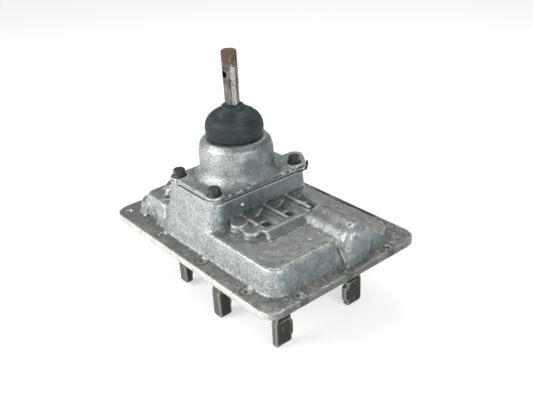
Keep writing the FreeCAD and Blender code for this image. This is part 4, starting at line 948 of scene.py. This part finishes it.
@dataclass(frozen=True)
class CastSkin:
    """A casting's own surface over its solid: filled inner corners, worn outer ones, sand grain.

    Attributes:
        node: the solid that it stands for.
        cell: width of the mesh's cells in millimetres.
        fill_steps: rounds that fill inner corners.
        wear_steps: rounds that round outer corners.
        grain: height of the sand grain in millimetres.
        seats: machined bores.
        faces: heights of machined faces in millimetres.
        marks: dishes, pips and raised lines.
        zones: boxes with other corners and grain; a later one overrides those before it.
        feet: flared feet of round walls.
        move: share of the way to its neighbours' mean that a point goes in one round.
        waves: wavelength in millimetres, seed and share of each part of the grain.
        margin: how far, in millimetres, the skin stays inside the solid's box.
        near: rounds of averaging that find edges.
        wide: rounds of averaging that find hollows.
    """

    node: str
    cell: float
    fill_steps: int
    wear_steps: int
    grain: float
    seats: tuple[Seat, ...] = ()
    faces: tuple[float, ...] = ()
    marks: tuple[Mark, ...] = ()
    zones: tuple[Zone, ...] = ()
    feet: tuple[Foot, ...] = ()
    move: float = 0.8
    waves: tuple[Place, ...] = ((11.0, 0.4, 0.6), (5.0, 2.2, 0.4))
    margin: float = 0.02
    near: int = 6
    wide: int = 80

    def build(self) -> bpy.types.Object:
        """Build the skin.

        In each round a point moves along its normal n by move (m - p) . n, where m is the mean of its
        neighbours: outward moves, in inner corners, go on for all rounds, and inward ones stop
        early. Then p += n (grain u(p) + the heights of the marks). The rounds and the grain fade out
        at the machined places.

        Returns:
            The piece, with the point attributes edge and hollow for its finish.
        """
        net = Net.over(self.node, self.cell * MM)
        low, high = (np.array(corner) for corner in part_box(self.node))
        rough = self._rough_share(net.points)
        for foot in self.feet:
            net.points[:, 2] = foot.heights(net.points / MM) * MM
        fill, wear, grain = self._zoned(net.points)
        for turn in range(max(fill.max(), wear.max())):
            normal = net.normals()
            lift = np.einsum("ij,ij->i", net.average(net.points) - net.points, normal)
            lift = np.where(lift > 0, lift * (turn < fill), lift * (turn < wear))
            net.points = net.points + normal * (self.move * lift * rough)[:, None]
        normal = net.normals()
        height = sum(share * unevenness(net.points, wave * MM, seed) for wave, seed, share in self.waves)
        height = height * grain * rough
        for mark in self.marks:
            height = height + mark.over(net.points / MM)
        raised = net.points + normal * (height * MM)[:, None]
        net.points = np.clip(raised, low + self.margin * MM, high - self.margin * MM)
        piece = mesh_piece(f"{self.node}_skin", net.points, net.quads)
        near, wide = net.relief(self.near) / MM, net.relief(self.wide) / MM
        self._attribute(piece, "edge", ease(near, 0.06, 0.4))
        self._attribute(piece, "hollow", ease(-near, 0.04, 0.3) * 0.5 + ease(-wide, 0.3, 2.2) * 0.7)
        return thinned(piece, TRIANGLE_LIMIT)

    def _zoned(self, points: np.ndarray) -> tuple[np.ndarray, np.ndarray, np.ndarray]:
        """Rounds of filling, rounds of wear and height of the grain for each point."""
        fill = np.full(len(points), self.fill_steps)
        wear = np.full(len(points), self.wear_steps)
        grain = np.full(len(points), self.grain)
        for zone in self.zones:
            inside = zone.holds(points)
            fill[inside] = zone.fill_steps
            wear[inside] = zone.wear_steps
            grain[inside] = self.grain * zone.grain
        return fill, wear, grain

    def _rough_share(self, points: np.ndarray) -> np.ndarray:
        """1 on the rough casting and 0 at machined bores and faces."""
        share = np.ones(len(points))
        for seat in self.seats:
            share = np.minimum(share, ease(seat.distance(points), 0.3, 2.0))
        for level in self.faces:
            share = np.minimum(share, ease(np.abs(points[:, 2] / MM - level), 0.8, 3.0))
        return share

    @staticmethod
    def _attribute(piece: bpy.types.Object, name: str, values: np.ndarray) -> None:
        """Store one number per point."""
        layer = piece.data.attributes.new(name, "FLOAT", "POINT")
        layer.data.foreach_set("value", values.astype(np.float32))


@dataclass
class GearboxCover:
    """The cast cover with its flange, plateau, turret and hump.

    Places are in millimetres where no unit stands, and each bore is a radius.

    Attributes:
        screw_rows: Y of the two long rows of case screws, in metres.
        screw_places: X of the screws in a row, in metres.
        column_places: Y of the screws in a column, in metres.
        column_offset: X of the two columns, in metres.
        plate_top: height of the face that carries the tower.
        bar_bore: bore of a bar.
        detent: X and bore of the three detent bores.
        interlock: X and bore of the interlock bore.
        port: X, Y and bore of the port in the pod.
        bolt_bore: bore of a tower bolt's hole.
        screw_bore: bore of a case screw's hole.
    """

    screw_rows: Flat = (-116.5 * MM, 116.5 * MM)
    screw_places: tuple[float, ...] = (-161 * MM, -67 * MM, 27 * MM, 121 * MM)
    column_places: tuple[float, ...] = (-76.5 * MM, 0.0, 76.5 * MM)
    column_offset: float = 171 * MM
    plate_top: float = 80.0
    bar_bore: float = 8.5
    detent: Flat = (54.0, 6.3)
    interlock: Flat = (42.0, 3.6)
    port: Place = (-97.0, -85.0, 5.7)
    bolt_bore: float = 5.2
    screw_bore: float = 4.4

    def screws(self) -> tuple[Flat, ...]:
        """X and Y of all case screws, in metres."""
        rows = [(x, y) for y in self.screw_rows for x in self.screw_places]
        columns = [(side * self.column_offset, y) for side in (-1, 1) for y in self.column_places]
        return tuple(rows + columns)

    def seats(self) -> tuple[Seat, ...]:
        """The cover's bores and screw holes."""
        seats = [Seat((0.0, y, BAR_HEIGHT), Axis.X, self.bar_bore) for y in BAR_LINES]
        seats += [Seat((self.detent[0], y, 0.0), Axis.Z, self.detent[1]) for y in BAR_LINES]
        seats += [Seat((self.interlock[0], 0.0, BAR_HEIGHT), Axis.Y, self.interlock[1]),
                  Seat((*self.port[:2], 0.0), Axis.Z, self.port[2])]
        seats += [Seat((*place, 0.0), Axis.Z, self.bolt_bore) for place in bolt_places()]
        seats += [Seat((x / MM, y / MM, 0.0), Axis.Z, self.screw_bore) for x, y in self.screws()]
        return tuple(seats)

    def skin(self) -> CastSkin:
        """The cover's rough surface, with its bores, screw holes and sealing faces left alone."""
        marks = (Mark(((129.9, -20.5, 45.0),), 2.2, -0.8), Mark(((128.0, -84.0, 45.0),), 16.0, -0.8),
                 Mark(((156.2, 22.5, 61.5),), 2.2, -1.0), Mark(((169.9, 7.8, 37.3),), 1.8, -1.0),
                 Mark(((30.5, -47.1, 67.0),), 3.0, 1.8), Mark(((-104.5, -77.0, 52.0),), 3.4, 2.0),
                 Mark(((-123.4, -101.3, 31.0), (-118.5, -101.3, 19.0), (-109.0, -102.5, 11.0)), 1.9, 1.1),
                 Mark(((-123.4, -101.3, 31.0), (-126.9, -105.0, 22.5), (-127.5, -105.5, 11.3)), 1.7, 0.9),
                 Mark(((-101.6, -96.2, 43.4), (-85.0, -99.4, 36.6), (-82.3, -103.1, 28.4),
                       (-87.6, -105.3, 21.8)), 1.7, 0.7),
                 Mark(((153.6, 1.7, 44.2), (161.4, 1.6, 32.5), (167.0, 4.0, 18.1)), 1.6, 0.9),
                 Mark(((72.0, 41.0, 58.2), (123.2, 41.0, 58.2), (157.5, 38.3, 59.6)), 1.4, 0.6),
                 Mark(((147.6, 94.3, 29.5), (162.8, 102.4, 10.0)), 1.5, 0.9))
        zones = (Zone((-200.0, -200.0, -1.0), (200.0, 200.0, 9.5), 9, 4),
                 Zone((24.0, -80.0, 30.0), (101.0, 62.0, 78.0), 7, 3, 0.3),
                 Zone((79.0, -62.0, 42.0), (104.0, 22.0, 60.0), 7, 14, 0.3))
        return CastSkin("shift_bar_housing", cell=1.25, fill_steps=40, wear_steps=6, grain=0.14,
                        seats=self.seats(), faces=(0.0, self.plate_top), marks=marks, zones=zones)

    def dress(self) -> bpy.types.Object:
        """Finish the cover, its plugs and its gasket.

        Returns:
            The cover's skin.
        """
        cast = self.skin().build()
        CastAluminium("cast_cover", GrimeAndShade.STANDING, self.screws(), chalk_and_light_until=-0.06).lay_on(cast)
        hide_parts("shift_bar_housing")
        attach(cast, "housing")
        fibre = DullStuff("gasket_fibre", (0.02, 0.018, 0.016), (0.07, 0.065, 0.055), 800.0, (0.85, 0.0),
                          0.0003, 0.5)
        fibre.lay_on(*solids("tower_gasket"))
        plated = BrightSteel("plated_plug", (0.42, 0.40, 0.35), 0.4)
        plated.lay_on(*solids("detent_plugs", "bar_bore_plugs", "interlock_plug"))
        return cast


@dataclass
class BlackBeads:
    """Black beads on the far rim of the flange and round the tower's lug: partly sealant that was pressed
    out and has dried, partly a painted shadow.

    Attributes:
        lines: corners of each bead's path, in millimetres.
        width: half the bead's width in millimetres.
        height: half its height in millimetres.
        around: points round its section.
    """

    lines: tuple[tuple[Place, ...], ...] = (
        ((-16.0, 126.2, 10.0), (-2.0, 126.8, 10.0), (12.5, 126.5, 10.0)),
        ((33.0, 126.0, 10.0), (70.0, 127.0, 10.0), (107.0, 126.6, 10.0)),
        ((8.0, 88.2, 79.6), (18.0, 79.0, 79.6), (28.3, 67.5, 79.6), (28.4, 52.0, 79.6)))
    width: float = 1.7
    height: float = 0.8
    around: int = 12

    def build(self) -> list[bpy.types.Object]:
        """Build the beads.

        A bead is an ellipse (w cos a, h sin a) carried along its path, with w and h swelling by
        0.35 sin(1.1 s) + 0.2 sin(2.7 s) of themselves over the run s in millimetres, and both
        shrinking to a point at the ends as sqrt(1 - (2 t - 1)^8).

        Returns:
            One piece for each bead.
        """
        beads = []
        for number, line in enumerate(self.lines, start=1):
            corners = np.asarray(line)
            run = np.concatenate(([0.0], np.cumsum(np.linalg.norm(np.diff(corners, axis=0), axis=1))))
            along = np.linspace(0.0, run[-1], int(run[-1]) + 8)
            middle = np.stack([np.interp(along, run, corners[:, k]) for k in range(3)], axis=1)
            ahead = np.gradient(middle, axis=0)
            ahead /= np.linalg.norm(ahead, axis=1, keepdims=True)
            across = np.stack((-ahead[:, 1], ahead[:, 0], 0.0 * along), axis=1)
            swell = 1.0 + 0.35 * np.sin(1.1 * along) + 0.2 * np.sin(2.7 * along)
            swell *= np.sqrt(np.clip(1.0 - (2.0 * along / run[-1] - 1.0) ** 8, 0.0, 1.0)) + 0.01
            angle = np.linspace(0.0, 2 * np.pi, self.around, endpoint=False)[:, None, None]
            rise = np.array([0.0, 0.0, 1.0])
            section = self.width * np.cos(angle) * across + self.height * np.sin(angle) * rise
            points = middle + section * swell[:, None]
            beads.append(closed_bead(f"sealant_{number}", points * MM))
        return beads

    def dress(self, beads: list[bpy.types.Object]) -> None:
        """Finish the beads and stick them to the cover."""
        # The beads are black: partly dried sealant, partly a painted shadow along the far rim and behind the
        # lug.
        black_bead = DullStuff("black_bead_finish", (0.006, 0.006, 0.006), (0.022, 0.021, 0.02), 500.0, (0.42, 0.3),
                            0.0004, 0.6)
        black_bead.lay_on(*beads)
        for bead in beads:
            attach(bead, "housing")


@dataclass
class LeverTower:
    """The domed tower and its four bolts, with places in millimetres.

    Attributes:
        socket: radius of the bore round the ball.
        pin_slot: radius of the slots for the cross pin.
        bolt_hole: radius of a bolt's hole, with the spot that its flange sits on.
        foot_face: height of the machined face under the tower.
        foot_radii: radii between which its foot is flared.
        foot_heights: heights between which its foot is flared.
        foot_reach: half the length of the plate that the foot stands on.
    """

    socket: float = 26.4
    pin_slot: float = 8.5
    bolt_hole: float = 6.0
    foot_face: float = 80.8
    foot_radii: Flat = (51.0, 62.0)
    foot_heights: Flat = (87.4, 96.5)
    foot_reach: float = 52.5

    def skin(self) -> CastSkin:
        """The tower's rough surface, with its socket, pin slots and bolt holes left alone."""
        x, y = LEVER_AXIS
        seats = [Seat((x, y, 0.0), Axis.Z, self.socket), Seat((x, y, PIVOT_HEIGHT), Axis.X, self.pin_slot)]
        seats += [Seat((*place, 0.0), Axis.Z, self.bolt_hole) for place in bolt_places()]
        dome = Zone((-120.0, -120.0, 104.0), (90.0, 90.0, 150.0), 6, 4)
        plate = Zone((x - 66.0, y - 60.0, 86.0), (x + 66.0, y + 60.0, 104.0), 16, 6)
        foot = Foot(LEVER_AXIS, *self.foot_radii, *self.foot_heights, self.foot_reach)
        return CastSkin("shift_tower", cell=1.15, fill_steps=22, wear_steps=5, grain=0.08,
                        seats=tuple(seats), faces=(self.foot_face,), zones=(dome, plate), feet=(foot,))

    def dress(self) -> bpy.types.Object:
        """Finish the tower, its bolts and the parts round the ball.

        Returns:
            The tower's skin.
        """
        cast = self.skin().build()
        CastAluminium("cast_tower", GrimeAndShade.HANDLED, top_shade=0.0).lay_on(cast)
        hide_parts("shift_tower")
        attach(cast, "housing")
        bolts = DarkSteel("bolt_steel", (0.085, 0.087, 0.08), (0.036, 0.036, 0.034), 0.36)
        bolts.lay_on(*solids("tower_bolts"))
        plated = BrightSteel("pressed_ring", (0.40, 0.38, 0.33), 0.35)
        plated.lay_on(*solids("ball_spring_cup", "spring_retainer"))
        return cast


@dataclass
class StubLever:
    """The rod with its ball and finger.

    Attributes:
        hole_drop: distance from the rod's end down to its cross hole, in metres.
    """

    hole_drop: float = 30 * MM

    def dress(self) -> None:
        """Finish the rod."""
        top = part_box("stub_lever")[1].z
        RustyRod("lever_rod", top, top - self.hole_drop).lay_on(*solids("stub_lever"))


@dataclass
class LeverBoot:
    """The rubber bulb between the tower's neck and the rod.

    It is two shells that meet at the widest ring.

    Attributes:
        outside: radius and height of the outer face, in millimetres, from the lip to the rod.
        wall: thickness of the rubber.
        rod: smallest radius of the inner face, which clears the rod.
        seam: height at which the two shells meet.
        ripple: height of the shallow rings where the rubber folds.
        around: points in one ring.
        along: points from the lip to the neck.
    """

    outside: tuple[Flat, ...] = (
        (36.4, 139.9), (37.8, 142.0), (38.9, 147.0), (39.4, 154.0), (37.9, 161.5), (34.0, 168.0),
        (27.4, 173.6), (21.0, 177.0), (17.8, 178.4), (16.4, 179.8), (14.8, 182.6), (12.4, 184.6),
        (10.4, 185.0))
    wall: float = 2.6
    rod: float = 10.5
    seam: float = 156.0
    ripple: float = 0.16
    around: int = 128
    along: int = 120

    def build(self) -> list[bpy.types.Object]:
        """Build both shells.

        The outer face is the outline turned about the lever's axis, moved out along its normal by
        ripple sin(1.9 z) times (z - 165) / 6, held between 1/4 and 1, at height z in millimetres. The
        inner face is the outline moved in along its normal by the wall.

        Returns:
            The lower and the upper shell.
        """
        curve = outline_curve(self.outside, self.along)
        slope = np.gradient(curve, axis=0)
        slope /= np.linalg.norm(slope, axis=1, keepdims=True)
        normal = np.stack((slope[:, 1], -slope[:, 0]), axis=1)
        height = curve[:, 1]
        rings = self.ripple * np.sin(height * 1.9) * np.clip((height - 165.0) / 6.0, 0.25, 1.0)
        outer = curve + normal * rings[:, None]
        inner = curve - normal * self.wall
        inner[:, 0] = np.maximum(inner[:, 0], self.rod)
        split = int(np.argmin(np.abs(height - self.seam)))
        angle = np.linspace(0.0, 2 * np.pi, self.around, endpoint=False)[:, None]
        centre = middle_of("lever_boot")
        shells = []
        for name, part in (("boot_lower", slice(0, split + 1)), ("boot_upper", slice(split, None))):
            section = np.vstack((outer[part], inner[part][::-1]))
            radius, height = section[None, :, 0] * MM, section[None, :, 1] * MM
            points = np.stack((centre.x + radius * np.cos(angle), centre.y + radius * np.sin(angle),
                               height + 0.0 * angle), axis=-1)
            shells.append(grid_piece(name, points, True, True))
        return shells

    def dress(self, shells: list[bpy.types.Object]) -> None:
        """Finish the lower and the upper shell and hide the CAD boot."""
        SlateRubber("boot_rubber").lay_on(*shells)
        low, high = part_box("lever_boot")
        spans = (("housing", "pivot_pin", low.z + 3 * MM, self.seam * MM),
                 ("pivot_pin", "lever", self.seam * MM, high.z - 7 * MM))
        for shell, (below, above, start, end) in zip(shells, spans):
            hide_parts("lever_boot")
            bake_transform(shell)


@dataclass
class ShiftRails:
    """The three bars with their forks, gates, pins, balls and springs.

    Attributes:
        hubs: X of each fork's hub, in millimetres.
        bore: radius of a fork's bore in millimetres.
        pin_bore: radius of its lock pin's bore in millimetres.
    """

    hubs: Place = (-55.0, 6.0, 126.0)
    bore: float = 8.3
    pin_bore: float = 2.7

    def forks(self) -> list[bpy.types.Object]:
        """Build the three forged forks.

        Returns:
            One skin for each fork, finished and on its bar.
        """
        skins = []
        for number, (y, hub) in enumerate(zip(BAR_LINES, self.hubs), start=1):
            seats = (Seat((0.0, y, BAR_HEIGHT), Axis.X, self.bore),
                     Seat((hub, y, 0.0), Axis.Z, self.pin_bore))
            skin = CastSkin(f"shift_fork_{number}", cell=1.2, fill_steps=14, wear_steps=4, grain=0.08,
                            seats=seats)
            skins.append(skin.build())
        ForgedFork("forged_fork").lay_on(*skins)
        for number, skin in enumerate(skins, start=1):
            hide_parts(f"shift_fork_{number}")
            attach(skin, f"bar_{number}")
        return skins

    def dress(self) -> None:
        """Finish every other piece inside the cover."""
        numbers = (1, 2, 3)
        ground = [f"{start}_{number}" for start in ("shift_bar", "detent_ball") for number in numbers]
        ground += ["pivot_pin", "interlock_pins", "interlock_cross_pin"]
        springs = [f"detent_spring_{number}" for number in numbers] + ["ball_spring"]
        gate_steel = DarkSteel("forged_gate", (0.17, 0.17, 0.145), (0.022, 0.021, 0.018), 0.4)
        BrightSteel("ground_bar").lay_on(*solids(*ground))
        BrightSteel("spring_wire", (0.38, 0.38, 0.38), 0.35).lay_on(*solids(*springs))
        gate_steel.lay_on(*solids(*(f"shift_gate_{number}" for number in numbers)))
        DarkSteel("roll_pin").lay_on(*solids(*(f"lock_pins_{number}" for number in numbers)))


@dataclass(frozen=True)
class Lamp:
    """A square area lamp that faces the cover.

    Attributes:
        name: the lamp's name.
        place: its place in metres.
        size: its side in metres.
        power: its power in watts.
        aim: the point that it faces, in metres.
    """

    name: str
    place: Place
    size: float
    power: float
    aim: Place = (0.0, 0.0, 0.05)

    def hang(self) -> None:
        """Put the lamp into the scene."""
        data = bpy.data.lights.new(self.name, "AREA")
        data.size = self.size
        data.energy = self.power
        lamp = bpy.data.objects.new(self.name, data)
        back = Vector(self.place) - Vector(self.aim)
        turn = back.to_track_quat("Z", "Y").to_matrix().to_4x4()
        lamp.matrix_world = Matrix.Translation(Vector(self.place)) @ turn
        bpy.context.scene.collection.objects.link(lamp)


@dataclass
class Studio:
    """Floor, lamps and the camera.

    Attributes:
        eye: the camera's place, in millimetres.
        azimuth: direction of the view round the vertical, in degrees.
        elevation: height of the camera above the horizon, in degrees.
        roll: turn of the picture, in degrees.
        focal: focal length in pixels of a picture 533 pixels wide.
        centre: where the optical axis meets the picture, in pixels.
        picture: the picture's size in pixels.
        floor_reach: half the floor's side in metres.
        surround: strength of the white surround, for the lighting and as the eye sees it.
        lamps: the area lamps.
    """

    eye: Place = (677.1, -518.5, 496.5)
    azimuth: float = 50.65
    elevation: float = 28.26
    roll: float = -2.78
    focal: float = 692.0
    centre: Flat = (277.66, 203.26)
    picture: Flat = (533.0, 400.0)
    floor_reach: float = 6.0
    surround: Flat = (0.42, 1.0)
    lamps: tuple[Lamp, ...] = (
        Lamp("key", (-0.55, -1.5, 1.0), 1.0, 24.0), Lamp("fill", (1.5, -0.2, 0.7), 0.8, 13.0),
        Lamp("top", (-0.5, 0.6, 1.6), 1.0, 9.0))

    def place_camera(self) -> None:
        """Set the camera from its measured direction.

        back = (sin a cos e, -cos a cos e, sin e), the level right is (cos a, sin a, 0), up is their
        cross product, and right and up are then turned by the roll.
        """
        a, e, r = (math.radians(angle) for angle in (self.azimuth, self.elevation, self.roll))
        back = Vector((math.sin(a) * math.cos(e), -math.cos(a) * math.cos(e), math.sin(e)))
        level = Vector((math.cos(a), math.sin(a), 0.0))
        upright = back.cross(level)
        right = level * math.cos(r) + upright * math.sin(r)
        up = upright * math.cos(r) - level * math.sin(r)
        data = bpy.data.cameras.new("camera")
        data.sensor_width = 36.0
        data.lens = self.focal / self.picture[0] * data.sensor_width
        data.shift_x = -(self.centre[0] - self.picture[0] / 2) / self.picture[0]
        data.shift_y = (self.centre[1] - self.picture[1] / 2) / self.picture[0]
        camera = bpy.data.objects.new("camera", data)
        turn = Matrix((right, up, back)).transposed().to_4x4()
        camera.matrix_world = Matrix.Translation(Vector(self.eye) * MM) @ turn
        bpy.context.scene.collection.objects.link(camera)
        bpy.context.scene.camera = camera

    def lay_floor(self) -> None:
        """A plain pale floor under the forks, white to the eye and to gloss."""
        level = CAD_BOX[0][2]
        reach = self.floor_reach
        corners = [(x * reach, y * reach, level) for x, y in ((-1, -1), (1, -1), (1, 1), (-1, 1))]
        floor = mesh_piece("floor", np.array(corners), np.array([[0, 1, 2, 3]]))
        PaleFloor("pale_floor").lay_on(floor)

    def light(self) -> None:
        """Hang the lamps and set the white surround, which is brighter to the eye than as a light."""
        world = bpy.data.worlds.new("surround")
        bpy.context.scene.world = world
        world.use_nodes = True
        tree = world.node_tree
        sky = tree.nodes["Background"]
        rays = tree.nodes.new("ShaderNodeLightPath")
        seen = tree.nodes.new("ShaderNodeMath")
        seen.operation = "MAXIMUM"
        level = tree.nodes.new("ShaderNodeMapRange")
        level.inputs["To Min"].default_value, level.inputs["To Max"].default_value = self.surround
        for start, end in ((rays.outputs["Is Camera Ray"], seen.inputs[0]),
                           (rays.outputs["Is Transmission Ray"], seen.inputs[1]),
                           (seen.outputs[0], level.inputs["Value"]),
                           (level.outputs["Result"], sky.inputs["Strength"])):
            tree.links.new(start, end)
        sky.inputs["Color"].default_value = (1.0, 1.0, 1.0, 1.0)
        for lamp in self.lamps:
            lamp.hang()


def main() -> None:
    """Dress the cover and its parts, then set the studio."""
    logging.basicConfig(level=logging.INFO, format="%(message)s")
    bpy.context.scene.view_settings.view_transform = "Standard"
    pieces = [GearboxCover().dress(), LeverTower().dress()]
    StubLever().dress()
    rails = ShiftRails()
    pieces += rails.forks()
    rails.dress()
    seams = BlackBeads()
    beads = seams.build()
    seams.dress(beads)
    boot = LeverBoot()
    shells = boot.build()
    boot.dress(shells)
    for piece in pieces + beads + shells:
        LOG.info("%s: %d faces", piece.name, len(piece.data.polygons))
    studio = Studio()
    studio.place_camera()
    studio.lay_floor()
    studio.light()


if __name__ == "__main__":
    main()
